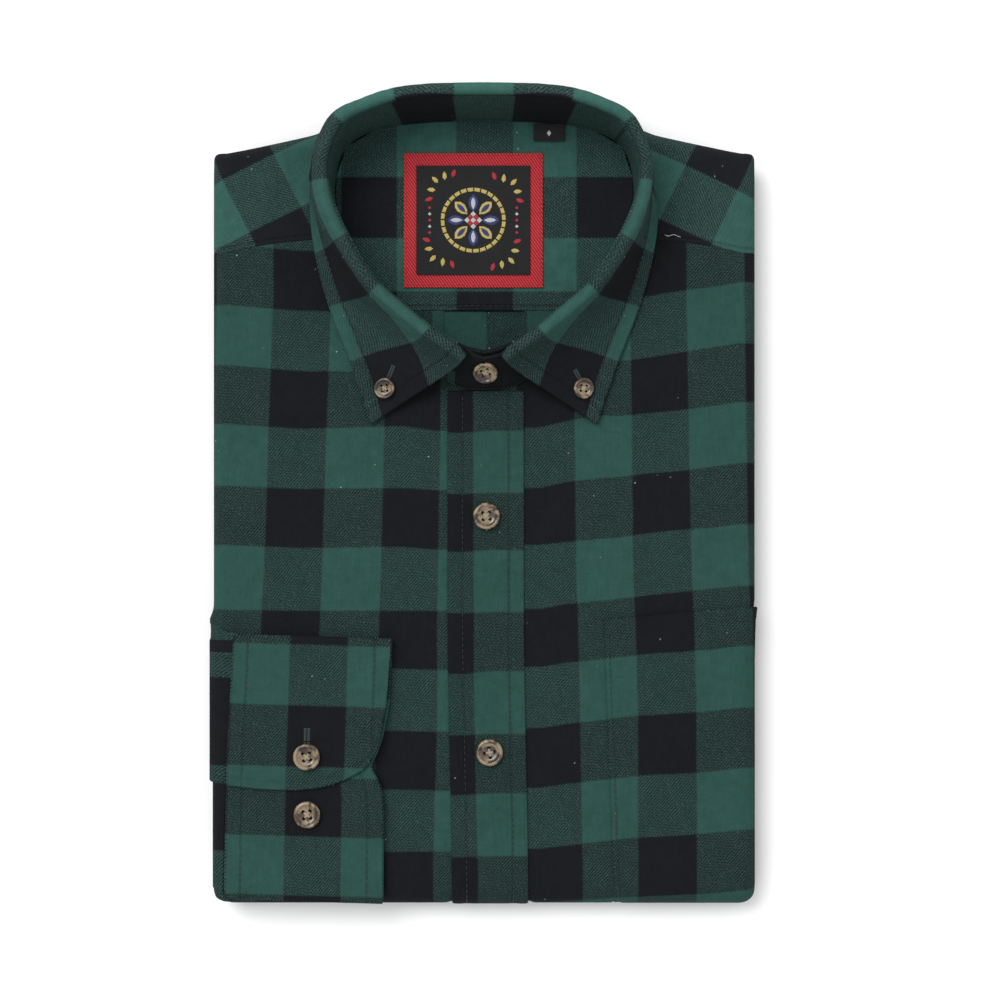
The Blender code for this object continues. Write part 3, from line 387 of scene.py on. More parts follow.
def neck_out(y):
    rows = [row for row in STAND if row[1] <= 140]
    clear = -1.0 + 3.2 * ease(y, 52, 74)
    return float(np.interp(y, [r[1] for r in rows], [r[0] for r in rows])) + clear


def placket_middle(b):
    return PLACKET_X + PLACKET_SWING * (1 - ease(b, BOTTOM_Y, -45))


def front_inner_edge(side, b):
    turned = turned_share(b)
    if turned > 0:
        beside = side * placket_middle(BOTTOM_Y) + PLACKET_WIDTH / 2 + GAP
        under = side * placket_middle(b) + GAP / 2 + 0.1
        return under + (beside - under) * ease(turned, 0, 0.55)
    if b > PLACKET_TOP + 3:
        return neck_out(b)
    return side * placket_middle(b) + GAP / 2 + 0.1


# ---------------------------------------------------------------- the check

def stripe(at, value, table, pitch, first, sign=1):
    """The stripe number of a place, from a table of where the check's lines run."""
    at, value = np.asarray(at, float), np.asarray(value, float) * sign
    places = [row[0] for row in table]
    lines = [np.interp(at, places, [row[1][k] for row in table]) * sign
             for k in range(len(table[0][1]))]
    result = first + (value - lines[0]) / pitch
    for k in range(len(lines) - 1):
        inside = first + k + (value - lines[k]) / (lines[k + 1] - lines[k])
        result = np.where(value >= lines[k], inside, result)
    past = first + len(lines) - 1 + (value - lines[-1]) / pitch
    return np.where(value >= lines[-1], past, result)


def body_check(x, b):
    """Stripe numbers on the fronts from the cloth's own coordinates, measured from the middle."""
    x, b = np.asarray(x, float), np.asarray(b, float)
    left = (stripe(b, x, LEFT_COLUMNS, WARP_STRIPE, 1), stripe(x, b, LEFT_ROWS, WEFT_STRIPE, 0, -1))
    right = (stripe(b, x, RIGHT_COLUMNS, WARP_STRIPE, 2),
             stripe(x, b, RIGHT_ROWS, WEFT_STRIPE, 0, -1))
    return np.where(x < 0, left[0], right[0]), np.where(x < 0, left[1], right[1])


def yoke_check(x, y):
    """Stripe numbers on the shoulders, whose check is turned, and the cloth's coordinates there."""
    found = []
    for (x0, y0), turn, (first_u, first_v) in (YOKE_LEFT, YOKE_RIGHT):
        c, s = cos(radians(turn)), sin(radians(turn))
        a, d = (x - x0) * c + (y - y0) * s, (x - x0) * s - (y - y0) * c
        found.append((first_u + a / 24.9, first_v + d / 25.6, a, d))
    return [np.where(x < 0, one, other) for one, other in zip(*found)]


def weave_from(across, down, angle, painted_light=1.0):
    """The twill's own coordinates: across its lines and along them, with the painted light and
    shade beside them.
    """
    across, down = np.asarray(across, float), np.asarray(down, float)
    turned = across * cos(angle) + down * sin(angle), down * cos(angle) - across * sin(angle)
    return np.stack([*turned, np.broadcast_to(painted_light, across.shape)], -1)


# ---------------------------------------------------------------- meshes

def linked(name, data):
    obj = bpy.data.objects.new(name, data)
    bpy.context.scene.collection.objects.link(obj)
    return obj


def new_object(name, points, faces, material, values=None, uvs=None, angle=50.0):
    """A mesh from points in this script's millimetres, with its point values and UVs."""
    mesh = bpy.data.meshes.new(name)
    placed = (np.asarray(points, float) + SHIFT) * MM
    mesh.from_pydata(placed.tolist(), [], faces)
    for key, data in (values or {}).items():
        attribute = mesh.attributes.new(key, "FLOAT_VECTOR", "POINT")
        attribute.data.foreach_set("vector", np.asarray(data, np.float32).ravel())
    if uvs is not None:
        layer = mesh.uv_layers.new(name="OFBake")
        layer.data.foreach_set("uv", np.asarray(uvs, np.float32).ravel())
    mesh.validate()
    obj = linked(name + "_cloth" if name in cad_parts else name, mesh)
    mesh.materials.append(material)
    mesh.shade_smooth()
    mesh.set_sharp_from_angle(angle=radians(angle))
    return obj


def ring_faces(rings, count, first=0):
    """The quads between closed rings of as many points each."""
    faces = []
    for start in range(first, first + (rings - 1) * count, count):
        for k in range(count):
            a, b = start + k, start + (k + 1) % count
            faces.append((a, b, b + count, a + count))
    return faces


def run_along(points):
    """How far along a row of points each of them is."""
    return np.concatenate([[0.0], np.cumsum(np.linalg.norm(np.diff(points, axis=0), axis=1))])


def split(cells):
    """A grid's points, and after them each of the values that follow the points in its cells."""
    cells = np.array(cells)
    return cells[..., :3], *np.moveaxis(cells[..., 3:], -1, 0)


def grid_normals(grid):
    across = np.gradient(grid, axis=1)
    along = np.gradient(grid, axis=0)
    normals = np.cross(across, along)
    return normals / np.maximum(np.linalg.norm(normals, axis=2, keepdims=True), 1e-9)


class Sheet:
    """A sheet of cloth: the grid of its outer face, its normals and the values of its check."""

    def __init__(self, grid, check, weave, facing=(0, 0, 1), at=(0.5, 0.5), seam=NO_SEAM):
        self.grid = np.asarray(grid, float)
        rows, columns = self.grid.shape[:2]
        self.normals = grid_normals(self.grid)
        probe = self.normals[int(at[0] * (rows - 1)), int(at[1] * (columns - 1))]
        self.flip = bool(probe @ np.asarray(facing, float) < 0)
        if self.flip:
            self.normals = -self.normals
        self.check = np.dstack([np.broadcast_to(values, (rows, columns))
                                for values in (*check, seam)])
        self.weave = np.asarray(weave, float)

    def place(self, row, column, lift=0.0):
        """A point at fractional row and column numbers, and the normal there."""
        rows, columns = self.grid.shape[:2]
        row, column = min(max(row, 0), rows - 1.001), min(max(column, 0), columns - 1.001)
        i, j = int(row), int(column)
        s, t = row - i, column - j
        found = []
        for source in (self.grid, self.normals):
            found.append((source[i, j] * (1 - s) * (1 - t) + source[i + 1, j] * s * (1 - t)
                          + source[i, j + 1] * (1 - s) * t + source[i + 1, j + 1] * s * t))
        normal = unit(found[1])
        return found[0] + normal * lift, normal

    def lift(self, amount):
        self.grid = self.grid + self.normals * np.asarray(amount)[..., None]

    def area(self):
        a, b = self.grid[1:, 1:] - self.grid[:-1, :-1], self.grid[1:, :-1] - self.grid[:-1, 1:]
        return float(np.linalg.norm(np.cross(a, b), axis=2).sum() / 2)

    def spans(self):
        across = np.linalg.norm(np.diff(self.grid, axis=1), axis=2).sum(1).max()
        along = np.linalg.norm(np.diff(self.grid, axis=0), axis=2).sum(0).max()
        return float(across), float(along)

    def dress(self, name, wall, rests_on, held="folded", flat=None, **shape):
        """The sheet as a flannel piece, in place of the CAD node of its name."""
        obj = self.build(name, wall, FLANNEL, **shape)
        width, length = flat or self.spans()
        finish_piece(obj, (name,), flat=(width * MM, length * MM), held=held,
                     rests_on=rests_on, area=self.area() * SQUARE_MM)

    def build(self, name, wall, material, middle=False, bulge=0.32):
        """Both faces and a rounded edge between them, as one closed mesh."""
        rows, columns = self.grid.shape[:2]
        outer, inner = self.grid, self.grid - self.normals * wall
        if middle:
            outer, inner = outer + self.normals * wall / 2, inner + self.normals * wall / 2
        loop = [(0, c) for c in range(columns - 1)] + [(r, columns - 1) for r in range(rows - 1)]
        loop += [(rows - 1, c) for c in range(columns - 1, 0, -1)]
        loop += [(r, 0) for r in range(rows - 1, 0, -1)]
        inside = [(min(max(r, 1), rows - 2), min(max(c, 1), columns - 2)) for r, c in loop]
        edge = np.array([(outer[i] + inner[i]) / 2 for i in loop])
        away = np.array([self.grid[i] - self.grid[k] for i, k in zip(loop, inside)])
        away /= np.maximum(np.linalg.norm(away, axis=1, keepdims=True), 1e-9)
        edge += away * wall * bulge
        count = rows * columns
        points = np.vstack([outer.reshape(-1, 3), inner.reshape(-1, 3), edge])
        r, c = np.meshgrid(np.arange(rows - 1), np.arange(columns - 1), indexing="ij")
        base = (r * columns + c).ravel()
        top = np.stack([base, base + 1, base + columns + 1, base + columns], 1)
        if self.flip:
            top = top[:, ::-1]
        under = top[:, ::-1] + count
        numbers = np.array([i * columns + j for i, j in loop])
        following = np.roll(numbers, -1)
        rim = 2 * count + np.arange(len(loop))
        rim_next = np.roll(rim, -1)
        upper = np.stack([following, numbers, rim, rim_next], 1)
        lower = np.stack([rim_next, rim, numbers + count, following + count], 1)
        if self.flip:
            upper, lower = upper[:, ::-1], lower[:, ::-1]
        faces = np.vstack([top, under, upper, lower])
        values = {}
        for key, data in (("check", self.check), ("weave", self.weave)):
            flat = data.reshape(-1, 3)
            values[key] = np.vstack([flat, flat, flat[numbers]])
        # Each face fills half of the UV square, and the edge's two strips run along its top
        place_u, place_v = np.meshgrid(np.linspace(0, 1, columns), np.linspace(0, 1, rows))
        grid_uv = np.stack([place_u.ravel(), place_v.ravel()], 1) * (0.488, 0.955)
        uvs = np.vstack([grid_uv + (0.004, 0.004), grid_uv + (0.508, 0.004),
                         np.zeros((len(loop), 2))])[faces]
        run = np.linspace(0.004, 0.996, len(loop) + 1)
        first = len(top) * 2
        for low, high in ((0.966, 0.978), (0.980, 0.992)):
            here = np.zeros((len(loop), 4, 2))
            order = [(1, low), (0, low), (0, high), (1, high)]
            if self.flip:
                order = order[::-1]
            for corner, (step, level) in enumerate(order):
                here[:, corner, 0] = run[np.arange(len(loop)) + step]
                here[:, corner, 1] = level
            uvs[first:first + len(loop)] = here
            first += len(loop)
        return new_object(name, points, faces.tolist(), material, values, uvs.reshape(-1, 2))


def finish_piece(obj, nodes, slot="flannel", **cloth):
    """Hangs a piece on the root and hides the CAD nodes it replaces; its slot and cloth values are
    not used.
    """
    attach(obj, "root")
    if nodes:
        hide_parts(*nodes)


# ---------------------------------------------------------------- materials

class Nodes:
    """Short ways to make shader nodes; a socket, a number or a colour may be any input."""

    def __init__(self, name):
        self.material = bpy.data.materials.new(name)
        self.material.use_nodes = True
        self.tree = self.material.node_tree
        self.shader = self.tree.nodes["Principled BSDF"]

    def node(self, kind, **settings):
        made = self.tree.nodes.new(kind)
        for key, value in settings.items():
            setattr(made, key, value)
        return made

    def feed(self, socket, value):
        if isinstance(value, bpy.types.NodeSocket):
            self.tree.links.new(value, socket)
        elif isinstance(value, (tuple, list)) and len(value) == 3 and socket.type == "RGBA":
            socket.default_value = (*value, 1.0)
        else:
            socket.default_value = value

    def math(self, operation, first, second=None, third=None):
        made = self.node("ShaderNodeMath", operation=operation)
        for socket, value in zip(made.inputs, (first, second, third)):
            if value is not None:
                self.feed(socket, value)
        return made.outputs[0]

    def times(self, first, second):
        return self.math("MULTIPLY", first, second)

    def fit(self, value, factor, offset):
        return self.math("MULTIPLY_ADD", value, factor, offset)

    def sine(self, value):
        return self.math("SINE", value)

    def mix(self, share, first, second, blend="MIX"):
        made = self.node("ShaderNodeMix", data_type="RGBA", blend_type=blend)
        self.feed(made.inputs[0], share)
        self.feed(made.inputs[6], first)
        self.feed(made.inputs[7], second)
        return made.outputs[2]

    def blend(self, share, first, second):
        made = self.node("ShaderNodeMix", data_type="FLOAT")
        for socket, value in zip(made.inputs[0:1] + made.inputs[2:4], (share, first, second)):
            self.feed(socket, value)
        return made.outputs[0]

    def vector(self, x, y, z=0.0):
        made = self.node("ShaderNodeCombineXYZ")
        for socket, value in zip(made.inputs, (x, y, z)):
            self.feed(socket, value)
        return made.outputs[0]

    def values(self, name):
        attribute = self.node("ShaderNodeAttribute", attribute_name=name)
        parts = self.node("ShaderNodeSeparateXYZ")
        self.tree.links.new(attribute.outputs["Vector"], parts.inputs[0])
        return parts.outputs[0], parts.outputs[1], parts.outputs[2]

    def noise(self, vector, scale, detail=2.0, roughness=0.5, distortion=0.0):
        made = self.node("ShaderNodeTexNoise", noise_dimensions="3D")
        self.feed(made.inputs["Vector"], vector)
        for key, value in (("Scale", scale), ("Detail", detail), ("Roughness", roughness),
                           ("Distortion", distortion)):
            made.inputs[key].default_value = value
        return made.outputs[0]

    def spots(self, vector, scale):
        made = self.node("ShaderNodeTexVoronoi", feature="F1")
        self.feed(made.inputs["Vector"], vector)
        made.inputs["Scale"].default_value = scale
        return made.outputs["Distance"], made.outputs["Color"]

    def grey(self, value):
        made = self.node("ShaderNodeCombineColor")
        for socket in made.inputs[:3]:
            self.feed(socket, value)
        return made.outputs[0]

    def ramp(self, value, low, high, low_out=0.0, high_out=1.0):
        made = self.node("ShaderNodeMapRange", interpolation_type="SMOOTHSTEP")
        for socket, given in zip(made.inputs, (value, low, high, low_out, high_out)):
            self.feed(socket, given)
        return made.outputs[0]

    def bump(self, height, strength, distance, normal=None):
        made = self.node("ShaderNodeBump")
        self.feed(made.inputs["Height"], height)
        made.inputs["Strength"].default_value = strength
        made.inputs["Distance"].default_value = distance
        if normal is not None:
            self.feed(made.inputs["Normal"], normal)
        return made.outputs[0]

    def finish(self, colour, roughness, normal=None, **sockets):
        self.feed(self.shader.inputs["Base Color"], colour)
        self.feed(self.shader.inputs["Roughness"], roughness)
        if normal is not None:
            self.feed(self.shader.inputs["Normal"], normal)
        for key, value in sockets.items():
            self.shader.inputs[key.replace("_", " ")].default_value = value
        return self.material


GREEN, BLACK = (0.0222, 0.0640, 0.0545), (0.0068, 0.0078, 0.0094)
LINT = (0.32, 0.37, 0.35)
FLECK = (0.105, 0.122, 0.118)


def make_flannel():
    """Brushed twill: black and green stripes each way, mixed line by line where they cross."""
    n = Nodes("brushed_flannel")
    u, v, seam = n.values("check")
    p, q, painted_light = n.values("weave")
    place = n.vector(p, q)
    cloth = n.vector(n.times(u, CHECK), n.times(v, CHECK))
    fine = n.noise(place, 1.9, 3.0, 0.6)            # the nap's fibres
    # Twill lines, ragged and uneven, as a mask between the two colours
    phase = n.fit(n.noise(place, 0.16, 1.0), 0.9, n.math("DIVIDE", p, TWILL))
    wave = n.sine(n.times(phase, 2 * pi))
    dash = n.sine(n.fit(q, 2 * pi / 1.5, n.times(phase, pi)))
    patchy = n.ramp(n.noise(place, 0.10, 2.0, 0.6), 0.38, 0.64, 0.20, 1.0)
    ragged = n.fit(n.noise(place, 2.3, 2.0, 0.7), 4.6, n.times(dash, 0.25))
    lines = n.times(wave, n.fit(patchy, 0.80, 0.20))
    mask = n.ramp(n.math("ADD", lines, n.math("SUBTRACT", ragged, 2.3)), -0.75, 0.75)
    mask = n.fit(n.math("SUBTRACT", mask, 0.5), 0.82, 0.565)
    # Black stripes each way, frayed where they change colour
    fray = n.times(n.math("SUBTRACT", n.noise(place, 0.9, 2.0), 0.5), 0.030)
    fray = n.math("ADD", fray, n.times(wave, 0.007))
    stripes = [n.ramp(n.sine(n.times(n.math("ADD", way, fray), pi)), -0.06, 0.06, 1.0, 0.0)
               for way in (u, v)]
    mixed = n.math("ABSOLUTE", n.math("SUBTRACT", *stripes))
    green = n.math("SUBTRACT", 1.0, n.blend(mask, *stripes))
    colour = n.mix(n.times(green, n.fit(mixed, -0.22, 1.0)), BLACK, GREEN)
    stretched = n.vector(n.times(p, 1.3), n.times(q, 0.8))
    flecks = n.ramp(n.noise(stretched, 1.6, 2.0, 0.65), 0.54, 0.72, 0.0, 0.50)
    colour = n.mix(n.times(flecks, mixed), colour, FLECK)
    # Lighter and darker cloth: clouds, wear, nap, streaks each way and twill, and painted shade in
    # the seams' grooves
    clouds = n.noise(place, 0.22, 3.0, 0.6)
    wear_and_highlight = n.noise(place, 0.05, 2.0)
    streaks = n.noise(n.vector(n.times(u, CHECK), n.times(v, 3.0)), 0.8, 3.0, 0.6)
    ribs = n.noise(n.vector(n.times(u, 4.0), n.times(v, CHECK)), 0.8, 2.0, 0.6)
    shade = n.fit(clouds, 0.44, 0.78)
    for layer, gain, floor in ((wear_and_highlight, 0.26, 0.87), (fine, 0.50, 0.75), (streaks, 0.34, 0.83),
                               (ribs, 0.16, 0.92), (wave, 0.045, 1.0),
                               (n.ramp(seam, 0.0, 1.1), 0.22, 0.78)):
        shade = n.times(shade, n.fit(layer, gain, floor))
    # Each piece's painted light and shade scales the colour here
    colour = n.mix(1.0, colour, n.grey(n.times(shade, painted_light)), "MULTIPLY")
    # A few specks of lint
    far, cell = n.spots(n.vector(p, n.times(q, 0.6)), 0.20)
    parts = n.node("ShaderNodeSeparateColor")
    n.feed(parts.inputs[0], cell)
    lint = n.times(n.ramp(far, 0.025, 0.075, 0.75, 0.0), n.ramp(parts.outputs[0], 0.80, 1.0))
    colour = n.mix(lint, colour, LINT)
    # Relief: the seams' grooves, soft creases across the cloth, then twill and nap
    normal = n.bump(n.ramp(seam, 0.0, 0.9), 0.8, 0.00035)
    normal = n.bump(n.noise(place, 0.13, 2.0, 0.55), 0.55, 0.0011, normal)
    normal = n.bump(n.noise(cloth, 0.42, 2.0, 0.55), 0.35, 0.00040, normal)
    normal = n.bump(n.fit(wave, 0.35, n.times(fine, 0.9)), 0.6, 0.00022, normal)
    return n.finish(colour, 0.95, normal, Specular_IOR_Level=0.10)


def make_horn(name, seed):
    """Polished horn: cream with soft brown and black cloud in it, different on each button."""
    n = Nodes(name)
    moved = n.node("ShaderNodeMapping")
    n.feed(moved.inputs["Vector"], n.node("ShaderNodeTexCoord").outputs["Object"])
    moved.inputs["Location"].default_value = (seed * 0.37, seed * 0.19, seed * 0.53)
    moved.inputs["Rotation"].default_value = (0.0, 0.0, seed * 0.7)
    moved.inputs["Scale"].default_value = (1.0, 0.6, 1.0)
    where = moved.outputs[0]
    wide = n.noise(where, 230.0, 2.0, 0.5, 0.8)
    lines = n.noise(where, 620.0, 3.0, 0.6, 1.0)
    cloud = n.fit(lines, 0.20, wide)
    colour = n.mix(n.ramp(cloud, 0.52, 0.66), (0.235, 0.175, 0.108), (0.092, 0.056, 0.031))
    colour = n.mix(n.ramp(cloud, 0.60, 0.74), colour, (0.020, 0.012, 0.007))
    colour = n.mix(n.ramp(lines, 0.62, 0.80, 0.0, 0.25), colour, (0.33, 0.26, 0.17))
    normal = n.bump(lines, 0.08, 0.0001)
    return n.finish(colour, n.ramp(lines, 0.3, 0.7, 0.24, 0.36), normal, Coat_Weight=0.4,
                    Coat_Roughness=0.12, Subsurface_Weight=0.05)


def make_woven(name, colour, dark, pitch, angle, strength=1.0, rough=0.75):
    """A woven label cloth with fine twill lines, from the piece's own coordinates."""
    n = Nodes(name)
    x, y, _ = n.values("weave")
    turned = n.math("ADD", n.times(x, cos(angle)), n.times(y, sin(angle)))
    cross = n.math("SUBTRACT", n.times(y, cos(angle)), n.times(x, sin(angle)))
    place = n.vector(x, y)
    line = n.sine(n.times(turned, 2 * pi / pitch))
    dots = n.sine(n.times(cross, 2 * pi / (pitch * 0.8)))
    mask = n.ramp(n.fit(dots, 0.25, line), -0.7, 0.7)
    cloud = n.noise(place, 0.35, 3.0, 0.6)
    fuzz = n.noise(place, 3.5, 2.0)
    shade = n.times(n.fit(cloud, 0.3, 0.85), n.fit(fuzz, 0.3, 0.85))
    base = n.mix(1.0, n.mix(mask, dark, colour), n.grey(shade), "MULTIPLY")
    normal = n.bump(n.fit(fuzz, 0.4, mask), 0.5 * strength, 0.00018)
    normal = n.bump(cloud, 0.4, 0.0006, normal)
    return n.finish(base, rough, normal, Sheen_Weight=0.15, Sheen_Roughness=0.4,
                    Specular_IOR_Level=0.25)


def make_thread(name, colour, variation=0.35):
    """Twisted thread, whose strands make it lighter and darker along its length."""
    n = Nodes(name)
    place = n.node("ShaderNodeTexCoord").outputs["Object"]
    twist = n.noise(place, 2600.0, 2.0)
    cloud = n.noise(place, 160.0, 2.0)
    shade = n.times(n.fit(twist, variation * 2, 1 - variation), n.fit(cloud, 0.4, 0.8))
    base = n.mix(1.0, colour, n.grey(shade), "MULTIPLY")
    return n.finish(base, 0.7, n.bump(twist, 0.5, 0.0001), Sheen_Weight=0.2,
                    Specular_IOR_Level=0.3)


FLANNEL = make_flannel()
THREAD_DARK = make_thread("sewing_thread", (0.0085, 0.0185, 0.0165))
THREAD_PALE = make_thread("button_thread", (0.32, 0.26, 0.18))
THREAD_GREY = make_thread("buttonhole_thread", (0.022, 0.038, 0.036))
THREAD_RED = make_thread("label_thread", (0.30, 0.016, 0.022))
THREAD_WHITE = make_thread("loose_thread", (0.50, 0.52, 0.51), 0.2)
LABEL_RED = make_woven("label_red_twill", (0.58, 0.034, 0.044), (0.19, 0.008, 0.013), 1.05,
                       radians(-35))
LABEL_BLACK = make_woven("label_black_satin", (0.0125, 0.0128, 0.0140), (0.0068, 0.0070, 0.0078),
                         0.62, radians(90), 0.6)
MOTIF_THREADS = {
    key: make_woven("label_" + name, colour, dark, 0.5, radians(angle), 1.2, rough)
    for key, name, colour, dark, angle, rough in (
        ("gold", "gold_thread", (0.62, 0.50, 0.16), (0.34, 0.25, 0.06), 20, 0.5),
        ("blue", "blue_thread", (0.045, 0.06, 0.22), (0.02, 0.03, 0.11), -20, 0.6),
        ("white", "white_thread", (0.62, 0.62, 0.60), (0.36, 0.36, 0.36), 70, 0.6),
        ("red", "scarlet_thread", (0.52, 0.04, 0.05), (0.25, 0.015, 0.02), 70, 0.6))}


# ---------------------------------------------------------------- stitches

class Stitches:
    """Rows of sewn stitches gathered into one mesh."""

    def __init__(self, name, material=None, width=0.34, length=1.9):
        self.name, self.material = name, material or THREAD_DARK
        self.width, self.length = width, length
        self.points, self.faces = [], []

    def bead(self, centre, along, normal, length=None, width=None):
        """One stitch: a short thread that dives into the cloth at both ends."""
        length, width = length or self.length, width or self.width
        side = unit(np.cross(normal, along))
        first = len(self.points)
        stations = ((-0.5, -0.40, 0.45), (-0.3, 0.05, 1.0), (0.0, 0.18, 1.0), (0.3, 0.05, 1.0),
                    (0.5, -0.40, 0.45))
        for at, rise, size in stations:
            middle = centre + along * length * at + normal * width * rise
            for k in range(6):
                turn = pi * k / 3
                away = side * cos(turn) + normal * sin(turn)
                self.points.append(middle + away * width / 2 * size)
        self.faces += ring_faces(len(stations), 6, first)
        self.faces.append(tuple(range(first, first + 6))[::-1])
        last = first + (len(stations) - 1) * 6
        self.faces.append(tuple(range(last, last + 6)))

    def line(self, sheet, places, pitch=STITCH, lift=THREAD_LIFT):
        """Stitches along a path given in the sheet's fractional row and column numbers."""
        points, normals = np.array([sheet.place(r, c, lift) for r, c in places]).transpose(1, 0, 2)
        run = run_along(points)
        count = int(run[-1] / pitch)
        for k in range(count):
            s = (k + 0.5) * run[-1] / count
            here, ahead, before = (np.array([np.interp(at, run, points[:, a]) for a in range(3)])
                                   for at in (s, s + 0.4, s - 0.4))
            normal = unit(np.array([np.interp(s, run, normals[:, a]) for a in range(3)]))
            self.bead(here, unit(ahead - before), normal)

    def build(self, slot="flannel"):
        obj = new_object(self.name, self.points, self.faces, self.material, angle=60)
        finish_piece(obj, (), slot)


def path(start, end, count=60):
    """Evenly spaced places from one row and column to another."""
    return [(start[0] + (end[0] - start[0]) * t, start[1] + (end[1] - start[1]) * t)
            for t in np.linspace(0, 1, count)]


# ---------------------------------------------------------------- body panels

def make_front(name, side):
    """A front: down from the yoke's seam, round the bottom fold and up again as the tail."""
    rows = [*spaced(SEAM_Y, PLACKET_TOP + 3, 2.0), 47.6, PLACKET_TOP, PLACKET_TOP - 2,
            *spaced(PLACKET_TOP - 2, TURN_START, 2.0)[1:], *TURN_ROWS,
            *spaced(TAIL_START, TAIL_END, 6.0)[1:]]
    cells = []
    for b in rows:
        start = side_start(side, BOTTOM_Y if b < TURN_START else b)
        outs = list(np.linspace(front_inner_edge(side, b), start, 56))
        outs += [start + SIDE_ROLL * pi * k / 20 for k in range(1, 21)]
        open_turn = sin(pi * turned_share(b))
        outs += [outs[-1] + (TUCK * (1 - open_turn) + 0.5) * k / 4 for k in range(1, 5)]
        row = []
        for out in outs:
            if open_turn > 0.02:
                out = min(out, start + SIDE_ROLL * pi * (1 - 0.36 * open_turn) + out * 0.002)
            share = max(b - 85.0, 0.0) / (SEAM_Y - 85.0)
            place = b + (yoke_seam(min(out, start)) - GAP - SEAM_Y) * share
            row.append((*front_point(side, out, place), side * out, place))
        cells.append(row)
    grid, x, b = split(cells)
    sheet = Sheet(grid, body_check(x, b), weave_from(x, -b, TWILL_ANGLE), at=(0.3, 0.3))
    sheet.dress(name, WALL, ["folded_layers"])


def make_yoke_outer():
    """The shoulders' yoke: up from its seam, over the shoulders and round behind the neck."""
    table = [(out, yoke_seam(out) if y is None else y, top) for out, y, top in YOKE_LINES]
    half = [(*along_table(table, at), 0.0) for at in np.arange(0, 13.01, 0.2)]
    half = [(*half[0][:3], SIDE_ROLL * pi * k / 16) for k in range(15, 0, -1)] + half
    columns = [(-1, line) for line in half] + [(1, line) for line in half[::-1][1:]]
    over_top = 1.3      # how far it goes on past the shoulder's edge, in half turns of its roll
    cells = []
    for share in [*np.linspace(0, 1, 22), *np.linspace(1, 1 + over_top, 20)[1:]]:
        row = []
        for side, (out, seam, top_out, over) in columns:
            top = shoulder_line(top_out) - SIDE_ROLL
            if seam > top:
                b = seam + (top + over_top * SIDE_ROLL * pi - seam) * share / (1 + over_top)
            else:
                b = seam + (top - seam) * min(share, 1) + max(share - 1, 0) * SIDE_ROLL * pi
            x = out + (top_out - out) * min(share, 1) + over
            point = yoke_point(side, x, b)
            edge = b - seam if out > 64 and seam < 120 else NO_SEAM
            point[2] += 0.45 * (1 - ease(edge, 0.5, 5.0)) * (1 - ease(over, 0, 8))
            row.append((*point, side * x, b, abs(edge - YOKE_INSET)))
        cells.append(row)
    grid, x, b, seam = split(cells)
    u, v, across, down = yoke_check(x, b)
    sheet = Sheet(grid, (u, v), weave_from(across, down, CROSS_ANGLE, PAINTED_LIGHT_BY_PIECE["yoke_outer"]),
                  at=(0.2, 0.25), seam=seam)
    sheet.dress("yoke_outer", WALL, ["folded_layers"])
    return sheet


def make_placket():
    """The band down the middle that the buttons close, which goes round the bottom fold."""
    upper_rows = spaced(PLACKET_TOP, TURN_START, 1.6)
    shares = [-0.5, -0.49, -0.475, *np.linspace(-0.455, 0.455, 25), 0.475, 0.49, 0.5]
    cells = []
    for b in [*upper_rows, *TURN_ROWS, *spaced(TAIL_START - 4, TAIL_END, 8.0)]:
        turned = turned_share(b)
        middle = placket_middle(b if turned == 0 else BOTTOM_Y)
        row = []
        for share in shares:
            x = middle + PLACKET_WIDTH * share
            edge = PLACKET_WIDTH / 2 - abs(PLACKET_WIDTH * share)
            lift = (GAP + SMALL_WALL) * (1 - ease(turned, 0.6, 1.0))
            pucker = sin(2 * pi * b / 6.1 + 1.3 * sin(b / 9.0) + (2.0 if share > 0 else 0.0))
            lift += (0.10 * pucker - 0.22) * hump(edge, PLACKET_INSET, 2.0) * (1 - turned)
            lift += 0.10 * hump(edge, 2.6, 1.8) - 0.20 * hump(edge, 0.0, 0.5)
            row.append((*front_lifted(1, x, b, lift), x, b, abs(edge - PLACKET_INSET)))
        cells.append(row)
    grid, x, b, seam = split(cells)
    check = (stripe(b, x, PLACKET_COLUMN, WARP_STRIPE, 2),
             stripe(x, b, PLACKET_ROWS, WEFT_STRIPE, 2, -1))
    sheet = Sheet(grid, check, weave_from(x, -b, TWILL_ANGLE, PAINTED_LIGHT_BY_PIECE["placket"]), at=(0.3, 0.5),
                  seam=seam)
    obj = sheet.build("placket", SMALL_WALL, FLANNEL, bulge=0.4)
    width, length = sheet.spans()
    finish_piece(obj, ("placket",), flat=(width * MM, length * MM), held="folded",
                 rests_on=["front_left", "front_right"])
    made = Stitches("placket_stitches")
    for side in (-1, 1):
        share = side * (0.5 - PLACKET_INSET / PLACKET_WIDTH)
        column = float(np.interp(share, shares, range(len(shares))))
        made.line(sheet, path((1, column), (len(upper_rows) + 12, column), 200))
    made.build()


